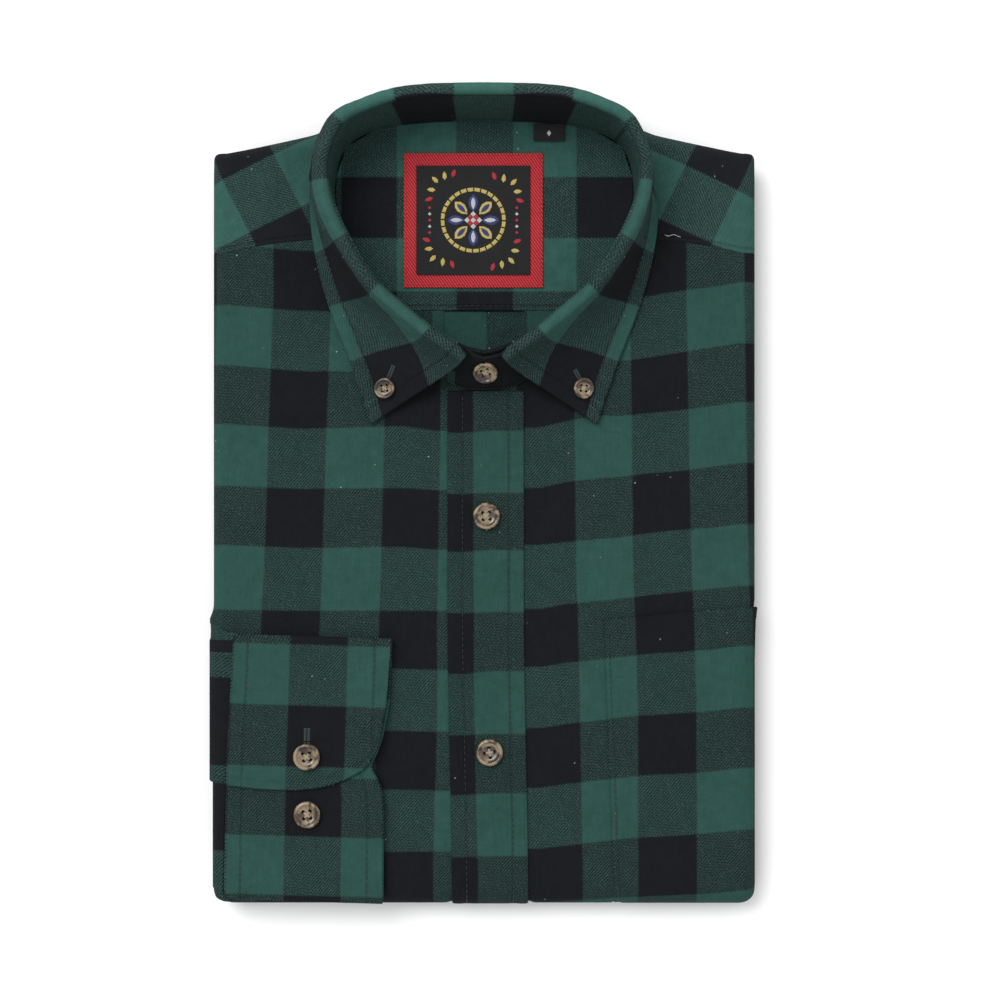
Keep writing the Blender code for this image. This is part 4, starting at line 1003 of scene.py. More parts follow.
def make_pocket():
    """The pocket on the left front, which goes with it over the side and round the fold."""
    shares = [*spaced(0, 1, 0.018), *(1 + 0.8 * k / 20 for k in range(1, 21))]
    columns = [*spaced(0, 1, 0.036), *(1 + 0.66 * k / 12 for k in range(1, 13))]
    start = side_start(1, BOTTOM_Y)
    cells = []
    for share in shares:
        row = []
        for column in columns:
            rise = POCKET_RISE * min(column, 1)
            b = POCKET_Y + rise + (TURN_START - POCKET_Y - rise) * min(share, 1)
            b += (POCKET_BOTTOM - TURN_START) * max(share - 1, 0) / 0.8
            inner = POCKET_X + POCKET_LEAN * min(share, 1)
            out = inner + (start - inner) * min(column, 1) + max(column - 1, 0) * SIDE_ROLL * pi
            edge, from_mouth = out - inner, POCKET_Y + rise - b
            lift = GAP + SMALL_WALL
            lift -= 0.20 * hump(edge, POCKET_INSET, 1.2) + 0.15 * hump(edge, 0.0, 0.4)
            lift += 0.35 * (1 - ease(from_mouth, 4, 26)) * ease(out, inner + 6, inner + 24)
            lift -= 0.55 * (1 - ease(edge, 0.5, 3.2)) * ease(TURN_START - b, 0.0, 6.0)
            row.append((*front_lifted(1, out, b, lift), out, b, abs(edge - POCKET_INSET)))
        cells.append(row)
    grid, x, b, seam = split(cells)
    weave = weave_from(x + 7.0, -b + 3.0, TWILL_ANGLE, PAINTED_LIGHT_BY_PIECE["pocket"])
    sheet = Sheet(grid, body_check(x, b), weave, at=(0.3, 0.4), seam=seam)
    sheet.dress("pocket", SMALL_WALL, ["front_left"], bulge=0.4)
    made = Stitches("pocket_stitches")
    column = POCKET_INSET / ((start - POCKET_X) / 28)
    made.line(sheet, path((1, column), (len(shares) - 8, column), 160))
    made.build()


# ---------------------------------------------------------------- the neck's inside

INSIDE_Z, YOKE_INNER_Y = 11.2, 82.4
PLEAT_HEIGHT, PLEAT_HALF = 0.9, 17.0


def inside_height(x, y):
    """The height of the yoke's lining inside the neck."""
    half = float(np.interp(y, [40, 60, 84, 103, 122, 139, 153, 165],
                           [58, 62, 64, 65, 65, 65, 60, 40]))
    rim = min(abs(x) / half, 1.0) ** 4 * (1.2 - 1.0 * ease(y, 118, 140))
    back = 0.3 * ease(y, 140, 164)
    ripple = 0.16 * quick_waves(x + 40, y) * (1 - ease(y, 140, 160))
    return INSIDE_Z + rim + back - 0.7 * (1 - ease(y, 45, 85)) + ripple


def make_yoke_inner():
    """The yoke's lining, which carries the label, with its seam to the back."""
    back = sorted((row[1], row[0]) for row in STAND if row[1] >= 122)
    cells = []
    for y in [*spaced(YOKE_INNER_Y, 149.0, 1.8), 151.2, 153.4, 155.5, 157.5, 159.6, 161.6, 163.6,
              165.0]:
        half = min(float(np.interp(y, *zip(*back))) - 0.6, 64.6)
        ridge = 0.35 * (1 - ease(y - YOKE_INNER_Y, 0, 3.5))
        cells.append([(x, y, inside_height(x, y) + ridge, abs(y - YOKE_INNER_Y - INNER_INSET))
                      for x in np.linspace(-half, half, 72)])
    grid, seam = split(cells)
    x, y = grid[..., 0], grid[..., 1]
    check = (stripe(y * 0, x, INNER_COLUMNS, WARP_STRIPE, 1),
             stripe(y * 0, y, INNER_ROWS, WEFT_STRIPE, 0, -1))
    sheet = Sheet(grid, check, weave_from(x, -y, CROSS_ANGLE, PAINTED_LIGHT_BY_PIECE["yoke_inner"]), seam=seam)
    sheet.dress("yoke_inner", WALL, ["folded_layers"], "laid")
    made = Stitches("inner_yoke_stitches")
    made.line(sheet, path((1.0, 3), (1.0, 68), 120))
    made.build()


def make_back():
    """The back below the inner yoke, with the two edges of its pleat."""
    half = PLEAT_HALF
    cells = []
    for y in spaced(44.0, YOKE_INNER_Y - GAP, 2.0):
        reach = 42.0 + 14.0 * ease(y, 44, 72)
        row = []
        for x in [*np.linspace(-reach, -half - 1, 16), -half - 0.5, -half,
                  *np.linspace(-half + 2, half - 2, 14), half, half + 0.5,
                  *np.linspace(half + 1, reach, 16)]:
            step = PLEAT_HEIGHT * ease(abs(x), half, half + 1.0)
            row.append((x, y, inside_height(x, y) - 0.9 + step - 0.5 * hump(x, 0.6, 0.8)))
        cells.append(row)
    grid = np.array(cells)
    x, y = grid[..., 0], grid[..., 1]
    check = (stripe(y * 0, x, BACK_COLUMNS, WARP_STRIPE, 2), 2.5 + (75 - y) / 100)
    sheet = Sheet(grid, check, weave_from(x, -y, -TWILL_ANGLE, PAINTED_LIGHT_BY_PIECE["back"]))
    sheet.dress("back", WALL, ["folded_layers"])


# ---------------------------------------------------------------- folded layers inside

# The layers' edges from the floor up: how far in from the outside, and the height
CORE_RINGS = (
    (9.0, 1.8), (6.0, 2.6), (6.0, 3.4), (9.0, 4.1),
    (18.4, 4.3), (18.4, 6.4), (10.0, 6.8), (8.4, 7.8), (10.0, 8.8), (18.4, 9.2),
    (18.4, 11.3), (8.0, 11.7), (4.2, 13.2), (6.0, 14.3), (4.2, 15.4), (8.0, 17.2),
)
LOWER_RINGS = 10                                # so many of them lie under the upper package
NECK_HOLLOW = (0.0, 97.0, 69.5, 60.0, 40.0)     # its middle, and its reach out, down and up
HOLLOW_Z = 8.0
CORNER, SIDE_BAND = 19.0, 20


def core_outline(inset, z, lower):
    """The outline of the folded layers at a height, with rounded corners and pressed sides."""
    half, low = HALF_WIDTH - inset, BOTTOM_Y + max(inset, 7.0) + 1.6
    top = HEM_Y - 1.0 if lower else shoulder_line(half) - max(inset, 7.0) - 1.0
    points = [(x, low) for x in np.linspace(-half, half, 61)[:-1]]
    points += [(half, y) for y in np.linspace(low, top, 91)[:-1]]
    for x in np.linspace(half, -half, 71)[:-1]:
        over = 0.0 if lower else min(shoulder_line(x), 161.0) - shoulder_line(half)
        points.append((x, top + max(over, 0.0)))
    points += [(-half, y) for y in np.linspace(top, low, 91)[:-1]]
    ring = []
    for x, y in points:
        corner = max(0.0, CORNER - (half - abs(x)) - (y - low))
        x -= np.sign(x) * corner / 2
        y += corner / 2
        if x < SIDE_BAND - half:
            pressed = SLEEVE_PRESS + (8.0 if 6.5 < z < 9.1 else 0.0)
            x += pressed * (1 - ease(y, SLEEVE_TOP - 6, SLEEVE_TOP + 10))
        elif x > half - SIDE_BAND:
            x -= POCKET_PRESS * (1 - ease(y, POCKET_Y, POCKET_Y + 12))
        uneven = 0.3 * fine_waves(y, z * 9) if abs(x) > half - SIDE_BAND else 0.0
        x += uneven - 0.3 * np.sign(x)
        ring.append((x, y, z if lower else sagged(x, y, z)))
    return ring


def sagged(x, y, z):
    """A layer's height, lower towards the shoulders, where the package thins."""
    share = (z - UPPER_FLOOR) / (TOP_Z - UPPER_FLOOR)
    floor = package_floor(y)
    top = core_top(x, y) + 1.6
    back = floor + (top - floor) * share if share > 0 else floor + z - UPPER_FLOOR
    return z + (back - z) * ease(y, 112, 130)


def hollow_outline(ring, scale, z=None):
    """The neck's hollow, at a height or else on top of the layers."""
    middle_x, middle_y, half, down, up = NECK_HOLLOW
    loop = []
    for x, y, _ in ring:
        dx, dy = (x - middle_x) / half, (y - middle_y) / (up if y > middle_y else down)
        size = (abs(dx) ** 3 + abs(dy) ** 3) ** (1 / 3) / scale
        x = middle_x + dx / size * half
        y = middle_y + dy / size * (up if dy > 0 else down)
        loop.append((x, y, core_top(x, y) if z is None else z))
    return loop


def core_top(x, y):
    top = upper_height(x, y) - WALL - 0.8 - 0.6 * ease(y, 118, 140)
    return top + (HOLLOW_Z - top) * ease(y, 112, 128) * (1 - ease(abs(x), 70, 78))


def make_core():
    """The folded layers between the outer cloths, one closed form with the hollow of the neck."""
    loops = []
    for number, (ring, following) in enumerate(zip(CORE_RINGS, CORE_RINGS[1:])):
        for k in range(3):
            inset, z = (a + (b - a) * (k / 3) for a, b in zip(ring, following))
            lower = number < LOWER_RINGS - 1 or (number == LOWER_RINGS - 1 and k == 0)
            loops.append(core_outline(inset, z, lower))
    loops.append(core_outline(*CORE_RINGS[-1], False))
    rim = [(x * 0.96, y - 4.0 * np.sign(y)) for x, y, _ in core_outline(10.0, 17.2, False)]
    rim = [(x, y, core_top(x, y)) for x, y in rim]
    edge = hollow_outline(rim, 1.0)
    between = [((a[0] + b[0]) / 2, (a[1] + b[1]) / 2) for a, b in zip(rim, edge)]
    between = [(x, y, core_top(x, y)) for x, y in between]
    loops += [rim, between, edge, hollow_outline(rim, 0.985, HOLLOW_Z)]
    count, last = len(loops[0]), (len(loops) - 1) * len(loops[0])
    points = np.array(loops).reshape(-1, 3)
    faces = [tuple(range(count))[::-1], *ring_faces(len(loops), count),
             tuple(range(last, last + count))]
    x, y, z = points.T
    u, v = body_check(x + 9, y + z * 3 + 11)
    values = {"check": np.stack([u, v, np.full(len(u), NO_SEAM)], 1),
              "weave": weave_from(x, z * 4 - y, TWILL_ANGLE, PAINTED_LIGHT_BY_PIECE["folded_layers"])}
    obj = new_object("folded_layers_cloth", points, faces, FLANNEL, values)
    finish_piece(obj, ("folded_layers",))


# ---------------------------------------------------------------- collar

def stand_point(at, share, side, spread):
    """A point of the stand, up from its lower edge by a share of its height."""
    low, top = along_table(STAND, at).reshape(2, 3)
    point = low + (top - low) * share
    point[1] -= spread * (1 - ease(at, 0.6, 2.6))
    return np.array((side * point[0], point[1], point[2]))


def make_stand():
    """The collar's stand: a band round the neck whose left end laps over its right one."""
    lap, last, step = 1.35, len(STAND) - 1, 0.125
    ring = [(-1, at, STAND_SPREAD) for at in np.linspace(lap, 0, 9)[:-1]]
    ring += [(1, at, STAND_SPREAD) for at in [*np.arange(0, last, step), last]]
    ring += [(-1, at, -STAND_SPREAD) for at in np.arange(last - step, -0.001, -step)]
    ring += [(1, at, -STAND_SPREAD) for at in np.linspace(0, lap, 9)[1:]]
    shares = np.linspace(0, 1, 15)
    grid = np.array([[stand_point(max(at, 0.0), share, side, spread) for side, at, spread in ring]
                     for share in shares])
    for row, share in zip(grid, shares):        # the under lap's end is rounded
        pull = 4.5 * abs(2 * share - 1) ** 3 * (1.0 if share > 0.5 else 0.3)
        row[:8, 0] += pull * (1 - np.arange(8) / 8)
    run = run_along(grid[len(shares) // 2])
    along = np.broadcast_to(run - run[len(run) // 2], grid.shape[:2])
    height = np.broadcast_to((shares * STAND_HEIGHT)[:, None], grid.shape[:2])
    front = grid[..., 1] < 66.0
    u = np.where(np.abs(along) > 62.0, 2.5, (along + STAND_STRIPE / 2) / STAND_STRIPE)
    u = np.where(front, np.where(grid[..., 0] > -13.0, 1.5, 0.5), u)
    # The stand's inside, in shade under the leaf, is painted lighter than its front: painted fill
    # light
    painted_light = np.where(front, 1.0, PAINTED_LIGHT_BY_PIECE["stand_inside"])
    sheet = Sheet(grid, (height / STAND_ROW + 1.0, u),
                  weave_from(along, -height, CROSS_ANGLE, painted_light), (0, 1, 0),
                  seam=np.abs(height - STAND_INSET))
    sheet.dress("collar_stand", STAND_WALL, ["front_left", "front_right", "yoke_outer"],
                middle=True)


def leaf_row(at):
    """A row of the leaf's table, and the direction out of the neck there."""
    table, last = [row[1:] for row in LEAF], len(LEAF) - 1
    before, after = along_table(table, max(at - 0.05, 0)), along_table(table, min(at + 0.05, last))
    run = unit(np.array((after[0] - before[0], after[1] - before[1])))
    outward = np.array((run[1], -run[0], 0.0) if at < last else (0.0, 1.0, 0.0))
    return along_table(table, at), outward


def leaf_section(at, side):
    """The section of the leaf's middle surface, and how far along the cloth it is."""
    (out, y, z, edge_out, edge_y, over, fold_handle, edge_handle), outward = leaf_row(at)
    along = float(np.interp(at, range(len(LEAF)), [row[0] for row in LEAF]))
    tuck, slim = 0.0, 0.0       # the left half lies closer over the shoulder than the right
    if side > 0:
        tuck = ease(along, 90, 116) * (1 - ease(along, 128, 144))
        slim = ease(along, 66, 92) * (1 - ease(along, 128, 144))
    edge_out -= 3.8 * tuck
    floor = ease(along, PAST_SHOULDER - 7, PAST_SHOULDER + 5)
    surface = upper_height(edge_out, min(edge_y, 150.0))
    edge_z = over + (surface + COLLAR_WALL / 2) * (1 - floor)
    inner = np.array((out, y, 0.0)) + outward * COLLAR_WALL / 2
    centre = inner + outward * ROLL
    centre[2] = z - ROLL
    points = [inner + np.array((0, 0, z - SEAM_BELOW_FOLD + GAP + d)) for d in (0.0, 1.0)]
    points.append(inner + np.array((0, 0, z - ROLL)))
    for angle in range(15, 180, 15):
        turn = radians(angle)
        points.append(centre - outward * ROLL * cos(turn) + np.array((0, 0, ROLL * sin(turn))))
    start = centre + outward * ROLL
    edge = np.array((edge_out, edge_y, edge_z))
    back = unit(edge - np.array((out, y, edge_z))) * edge_handle
    full = 0.45 + 1.2 * ease(along, 62, 95) * (1 - ease(along, 120, 136))
    full *= 1 - 0.9 * slim
    handle_a = start + np.array((0, 0, -fold_handle)) + outward * fold_handle * full
    handle_b = edge - back + np.array((0, 0, 0.4 * (1 - floor) + 8.0 * floor))
    for t in np.linspace(0, 1, 37):
        points.append((1 - t) ** 3 * start + 3 * (1 - t) ** 2 * t * handle_a
                      + 3 * (1 - t) * t ** 2 * handle_b + t ** 3 * edge)
    return [np.array((side * p[0], p[1], p[2])) for p in points], along


def make_leaf():
    """The collar's leaf: up from the stand, over its fold and out to its pointed front edge."""
    half = np.linspace(0, len(LEAF) - 1, 110)
    columns = [(at, -1) for at in half] + [(at, 1) for at in half[::-1][1:]]
    sections, alongs = zip(*(leaf_section(at, side) for at, side in columns))
    grid = np.array(sections).transpose(1, 0, 2)
    steps = np.linalg.norm(np.diff(grid, axis=0), axis=2)
    from_edge = np.vstack([np.cumsum(steps[::-1], axis=0)[::-1], np.zeros(len(columns))])
    from_seam = from_edge[0] - from_edge
    along = np.broadcast_to(np.array(alongs), from_edge.shape)
    eased = np.vectorize(ease)
    # The check leans at the front edges, and its lines close up a little over the shoulders
    slant = -4.0 * (1 - from_edge / from_edge[0]) * np.clip(1 - along / 40.0, 0, 1)
    v = (along + slant - LEAF_LINE + 2.6 * np.clip(1 - along / 60.0, 0, 1)) / CHECK
    v = np.where(along < 8.0, np.maximum(v, -0.97), v)
    wide = CHECK - 5.5 * eased(along, 30.0, 90.0)
    beside = from_edge - LEAF_HEM
    u = np.where(beside < 0, -beside / CHECK, -beside / wide)
    # A painted highlight along the top of the collar's roll, stronger behind the neck, on top of
    # the leaf's painted light
    wear_and_highlight = 0.22 + 0.40 * eased(along, 110, 140)
    painted_light = PAINTED_LIGHT_BY_PIECE["leaf"] + wear_and_highlight * np.exp(-((from_seam - 6.5) / 4.5) ** 2)
    number = np.arange(len(columns))
    ends = np.where((number < len(columns) / 2)[None, :, None], grid[:, :1], grid[:, -1:])
    front_seam = np.abs(np.linalg.norm(grid - ends, axis=2) - COLLAR_INSET)
    front_seam = np.where(np.minimum(number, number[::-1]) < 40, front_seam, NO_SEAM)
    seam = np.minimum(np.abs(from_edge - COLLAR_INSET), front_seam)
    sheet = Sheet(grid, (u, v), weave_from(along + slant, from_seam, COLLAR_ANGLE, painted_light),
                  at=(0.9, 0.1), seam=seam)
    hem = np.exp(-((from_edge - 3.0) / 2.2) ** 2) * 0.35
    hem -= np.exp(-((from_edge - 6.2) / 1.6) ** 2) * 0.30
    uneven = 0.10 * np.vectorize(fine_waves)(along, from_edge) * np.clip(from_edge / 8, 0, 1)
    sheet.lift(hem + uneven * np.clip((from_seam - 6) / 6, 0, 1))
    sheet.dress("collar_leaf", COLLAR_WALL,
                ["collar_stand", "front_left", "front_right", "yoke_outer"], middle=True)
    made = Stitches("collar_stitches")
    places = [(float(np.interp(-COLLAR_INSET, -from_edge[:, column], range(len(grid)))), column)
              for column in range(8, len(columns) - 8)]
    made.line(sheet, places, lift=COLLAR_WALL / 2 + THREAD_LIFT)
    made.build()
    return sheet


# ---------------------------------------------------------------- cuff and sleeve

# How many points a section of the cuff has on its upper face, round its end and under it
UPPER_POINTS, END_POINTS, UNDER_POINTS = 46, 12, 30


def cuff_place(u, v, z):
    """A place on the cuff at a height, from the distances across and along it."""
    x = CUFF_MIDDLE[0] + u * cos(CUFF_TURN) - v * sin(CUFF_TURN)
    y = CUFF_MIDDLE[1] + u * sin(CUFF_TURN) + v * cos(CUFF_TURN)
    past = min(max(TURN_START - y, 0.0), BOTTOM_RADIUS * 0.8)
    droop = min(BOTTOM_RADIUS - (BOTTOM_RADIUS ** 2 - past ** 2) ** 0.5, 1.6) * 0.8
    return np.array((x, y, z - droop + upper_height(x, y) - TOP_Z))


def cuff_reach(u, v, upper):
    """How far across the cuff reaches at a height, as a share of its half width."""
    if u < 0:
        return float(np.interp(v, LEFT_V, LEFT_U)) / (CUFF_WIDTH / 2)
    return 1.0 if upper else float(np.interp(v, UNDER_V, UNDER_U)) / (CUFF_WIDTH / 2)


def cuff_section(u):
    """A section along the cuff: over its lap, round its end, back under and up again."""
    level = [TOP_Z + GAP + CUFF_WALL / 2 + k * (CUFF_WALL + GAP) for k in range(3)]
    upper = level[1] + 0.7
    radius = (upper - level[0]) / 2
    low_radius = (level[1] - level[0]) / 2
    end = CUFF_HEIGHT / 2 - CUFF_WALL / 2
    section = []
    for v in np.linspace(float(np.interp(u, LAP_U, LAP_V)), end - radius, UPPER_POINTS):
        rise = 1 - ease(v, UNDER_LAP_END + 1, UNDER_LAP_END + 13)
        section.append((v, upper + (level[2] - upper) * rise))
    for angle in range(15, 181, 180 // END_POINTS):
        turn = radians(angle)
        section.append((end - radius + radius * sin(turn), upper - radius + radius * cos(turn)))
    for v in np.linspace(end - radius - 3, -end + low_radius, UNDER_POINTS):
        section.append((v, level[0]))
    for angle in range(30, 181, 30):
        turn = radians(angle)
        section.append((-end + low_radius - low_radius * sin(turn),
                        level[0] + low_radius - low_radius * cos(turn)))
    for v in np.linspace(-end + low_radius + 2.5, UNDER_LAP_END, 34):
        section.append((v, level[1]))
    return np.array(section)


def make_cuff():
    """The cuff, folded on itself so that its upper part laps over the lower one."""
    end = UPPER_POINTS + END_POINTS
    shares = [*np.linspace(-0.5, 0.36, 48), *np.linspace(0.38, 0.49, 12), 0.495, 0.499, 0.5]
    cells = []
    for u in (CUFF_WIDTH * share for share in shares):
        section = cuff_section(u)
        points = [cuff_place(u * cuff_reach(u, v, number < 50), v, z)
                  for number, (v, z) in enumerate(section)]
        v, run, number = section[:, 0], run_along(section), np.arange(len(section))
        upper, lower = number < end, number >= end + UNDER_POINTS
        down = UPPER_LINE - v
        around = down[end - 1] / UPPER_STRIPE - (run - run[end - 1]) / UPPER_STRIPE
        rows = np.where(lower, 2.0 + (LOWER_LINE - v) / LOWER_STRIPE, around)
        rows = np.where(upper, down / UPPER_STRIPE, rows)
        seam = np.minimum(np.where(upper, np.abs(v - v[0] - LAP_INSET), NO_SEAM),
                          abs(CUFF_WIDTH / 2 - abs(u) - CUFF_INSET))
        cells.append(np.column_stack([points, np.full(len(v), u),
                                      np.where(lower, down + 9.0, down), rows, seam]))
    grid, u, down, rows, seam = split(cells)
    check = (1 + (u - ACROSS_LINE) / ACROSS_STRIPE, rows)
    sheet = Sheet(grid, check, weave_from(u, down, TWILL_ANGLE), at=(0.4, 0.15), seam=seam)
    sheet.dress("cuff", CUFF_WALL, ["front_right", "sleeve"],
                flat=(CUFF_WIDTH, sheet.spans()[0]), middle=True, bulge=0.36)
    made = Stitches("cuff_stitches")
    for side in (-1, 1):
        share = side * (0.5 - CUFF_INSET / CUFF_WIDTH)
        row = float(np.interp(share, shares, range(len(shares))))
        for first, last, count in ((4, 52, 120), (94, 104, 40)):
            made.line(sheet, path((row, first), (row, last), count),
                      lift=CUFF_WALL / 2 + THREAD_LIFT)
    made.build()
    return sheet


def sleeve_lift(y):
    """How high the sleeve lies over the front: two folded edges, then its slit."""
    lift = GAP + SLEEVE_WALL
    lift += 0.8 * ease(y, -66.5, -65.0) + 0.7 * ease(y, -77.5, -76.0)
    lift += 0.9 * ease(y, SLEEVE_SLIT - 0.6, SLEEVE_SLIT + 0.6)
    return lift


def make_sleeve():
    """The end of the sleeve beside the cuff, which goes over the side of the package."""
    rows = [*spaced(SLEEVE_TOP, -64.6, 1.0), -65.1, -65.6, -66.1, -66.6,
            *spaced(-67.5, -75.6, 1.4), -76.1, -76.6, -77.1, -77.6, *spaced(-79, -121.6, 1.6),
            -122.1, -122.4, -122.7, -123.0, -123.3, *spaced(-124.5, SLEEVE_BOTTOM, 1.6)]
    start, round_side = side_start(-1, BOTTOM_Y), SIDE_ROLL * pi
    cells = []
    for y in rows:
        cuff_edge = -(CUFF_MIDDLE[0] - CUFF_WIDTH / 2 + (y - CUFF_MIDDLE[1]) * -sin(CUFF_TURN))
        lift = sleeve_lift(y) - 0.8 * ease(y, -56, SLEEVE_TOP) - 0.4 * ease(-y, 170, 175.6)
        inset = CUFF_WIDTH / 2 * (1 - cuff_reach(-1, y - CUFF_MIDDLE[1] + 1.0, True))
        first = cuff_edge + 0.1 - inset - 2.6 * ease(-y, 170.0, 175.0)
        row = []
        for share in np.linspace(0, 1, 40):
            out = first + (start + (round_side + 6.0) - first) * share
            flat = ease(out, start - 3.0, start + round_side * 0.35)
            sideways = ease(out, cuff_edge, start + 9.0)
            along = y - (8.0 - 4.6 * sideways) * ease(y, -78, SLEEVE_TOP)
            beside = -0.4 + (GAP + SLEEVE_WALL + 0.4) * ease(-along, 53.5, 58.5)
            rise = lift + (beside - lift) * flat + 0.4 * ease(-y, 145, 158) * (1 - flat)
            point = front_lifted(-1, out, along, rise)
            past = min(max(out - start, 0.0) / round_side, 1.0)
            push = 2.6 * (1 - ease(along, -62.0, -54.0)) - 1.4 * (1 - ease(y, -123.2, -122.2))
            point[0] -= push * ease(y, -180, -168) * sin(pi * past) ** 1.5
            point[1] -= 4.0 * ease(-along, 160, 175) * ease(min(past, 1 - past), 0.09, 0.4)
            lowest = float(np.interp(point[0], SLEEVE_END_X, SLEEVE_END_Y))
            point[1] += 0.9 * max(lowest - point[1], 0.0)
            row.append((*point, -out, along))
        cells.append(row)
    grid, x, y = split(cells)
    check = (1.5 + (x + 114) / 60, stripe(y * 0, y, SLEEVE_ROWS, WEFT_STRIPE, 0, -1))
    sheet = Sheet(grid, check, weave_from(x, -y, TWILL_ANGLE, PAINTED_LIGHT_BY_PIECE["sleeve"]), at=(0.5, 0.1))
    sheet.dress("sleeve", SLEEVE_WALL, ["front_right"])


# ---------------------------------------------------------------- buttons

# A button's section from its underside to its top, then its holes, as shares of its radius
BUTTON_PROFILE = (
    (0.0, 0.0), (0.60, 0.0), (0.80, 0.035), (0.93, 0.11), (0.985, 0.19), (1.0, 0.26), (0.99, 0.33),
    (0.96, 0.39), (0.91, 0.43), (0.85, 0.445), (0.79, 0.43), (0.74, 0.38), (0.69, 0.31),
    (0.63, 0.26), (0.54, 0.23), (0.38, 0.215), (0.18, 0.21), (0.0, 0.205),
)
BUTTON_SIDES, BUTTON_MIDDLE = 56, 0.21
HOLE, HOLE_REACH = 0.135, 0.35


def shape_object(name, shape):
    mesh = bpy.data.meshes.new(name)
    shape.to_mesh(mesh)
    shape.free()
    return linked(name, mesh)


def make_button(node, diameter, centre, normal, seed, spin):
    """A horn button with a raised rim and four holes, sewn on with a cross of thread."""
    radius = diameter / 2
    shape = bmesh.new()
    rings = []
    for r, z in BUTTON_PROFILE:
        turns = [2 * pi * k / BUTTON_SIDES for k in range(BUTTON_SIDES if r else 1)]
        rings.append([shape.verts.new((radius * r * cos(turn) * MM, radius * r * sin(turn) * MM,
                                       radius * z * MM)) for turn in turns])
    for low, high in zip(rings[:-1], rings[1:]):
        for k in range(BUTTON_SIDES):
            n = (k + 1) % BUTTON_SIDES
            if len(low) == 1:
                shape.faces.new((low[0], high[n], high[k]))
            elif len(high) == 1:
                shape.faces.new((low[k], low[n], high[0]))
            else:
                shape.faces.new((low[k], low[n], high[n], high[k]))
    turned = shape_object(node + "_turned", shape)
    shape = bmesh.new()
    hole, reach = radius * HOLE * MM, radius * HOLE_REACH
    spots = [(reach * cos(pi / 4 + k * pi / 2), reach * sin(pi / 4 + k * pi / 2)) for k in range(4)]
    for x, y in spots:
        made = bmesh.ops.create_cone(shape, cap_ends=True, segments=16, radius1=hole,
                                     radius2=hole, depth=radius * 1.6 * MM)
        bmesh.ops.translate(shape, verts=made["verts"], vec=(x * MM, y * MM, 0))
    drill = shape_object(node + "_drill", shape)
    cut = turned.modifiers.new("Holes", "BOOLEAN")
    cut.operation, cut.object = "DIFFERENCE", drill
    bpy.context.view_layer.update()
    evaluated = turned.evaluated_get(bpy.context.evaluated_depsgraph_get())
    final = bpy.data.meshes.new_from_object(evaluated)
    bpy.data.objects.remove(turned)
    bpy.data.objects.remove(drill)
    obj = linked(node + "_horn", final)
    final.materials.clear()
    final.materials.append(make_horn("horn_" + node, seed))
    final.shade_smooth()
    final.set_sharp_from_angle(angle=radians(38))
    turn = Vector(tuple(normal)).to_track_quat("Z", "Y").to_matrix() @ Matrix.Rotation(spin, 3, "Z")
    place = Vector(tuple((np.asarray(centre) + SHIFT) * MM))
    obj.matrix_world = Matrix.Translation(place) @ turn.to_4x4()
    bpy.context.view_layer.update()
    finish_piece(obj, (node,), "horn")
    thread = Stitches(node + "_thread", THREAD_PALE)
    basis = np.array(turn)
    for number in range(2):                     # two strands each way, one pair over the other
        start, end = (np.array((*spots[number + k], radius * BUTTON_MIDDLE)) for k in (0, 2))
        length = np.linalg.norm(end - start) * 0.86
        along = unit(end - start)
        for shift in (-0.5, 0.5):
            middle = (start + end) / 2 + np.cross((0, 0, 1), along) * shift * radius * 0.08
            middle[2] += radius * (0.02 + 0.04 * number)
            thread.bead(np.asarray(centre) + basis @ middle, basis @ along,
                        basis @ np.array((0, 0, 1.0)), length, radius * 0.08)
    thread.build("horn")


def leaf_seat(side):
    """Where a collar button sits on the leaf's front edge, and the normal there."""
    at, row, share = 1.02, -7, 0.17
    here, beside = leaf_section(at, side)[0], leaf_section(at + 0.3, side)[0]
    place = here[row] + (here[row + 1] - here[row]) * share
    face = unit(np.cross(beside[row] - here[row], here[row + 1] - here[row - 1]))
    face = face if face[2] > 0 else -face
    return place + face * (COLLAR_WALL / 2 + GAP), face


def make_buttons():
    lift = 2 * GAP + SMALL_WALL
    for name, x, y, seed, turn in (("button_front_1", 0.8, -7.4, 3, 6),
                                   ("button_front_2", 2.5, -109.8, 8, 15)):
        make_button(name, FRONT_BUTTON, front_lifted(1, x, y, lift), front_normal(1, x, y),
                    seed, radians(turn))
    low, high = (stand_point(0.0, share, 1, STAND_SPREAD) for share in (0.2, 0.8))
    face = unit(np.cross(np.array((1.0, 0.0, 0.0)), unit(high - low)))
    middle = stand_point(0.0, BAND_BUTTON[1], 1, STAND_SPREAD) + face * (STAND_WALL / 2 + GAP)
    middle[0] += BAND_BUTTON[0]
    leaning = unit(face + np.array((0.0, 0.0, 0.38)))
    make_button("button_band", FRONT_BUTTON - 0.8, middle, leaning, 14, radians(20))
    for name, side in (("button_collar_right", -1), ("button_collar_left", 1)):
        place, face = leaf_seat(side)
        make_button(name, COLLAR_BUTTON, place, face, 20 + 4 * side, radians(12 * side))
    for name, u, v, level in (("button_cuff_1", -0.1, 5.8, 3), ("button_cuff_2", 0.6, -19.4, 2)):
        z = TOP_Z + level * (CUFF_WALL + GAP) + GAP
        make_button(name, FRONT_BUTTON, cuff_place(u, v, z), (0.0, 0.0, 1.0), 31 + 2 * level,
                    radians(3 * level))


def nearest_face(sheet, x, y, lift):
    """The point above a place on a sheet's upper face, and the normal there."""
    target = np.array((x, y))
    away = np.linalg.norm(sheet.grid[..., :2] - target, axis=2)
    near = np.where(sheet.normals[..., 2] > 0.2, away, 1e9)
    row, column = np.unravel_index(near.argmin(), near.shape)
    anchor, normal = sheet.grid[row, column], sheet.normals[row, column]
    height = anchor[2] - (normal[:2] @ (target - anchor[:2])) / normal[2]
    return np.array((x, y, height)) + normal * lift, normal


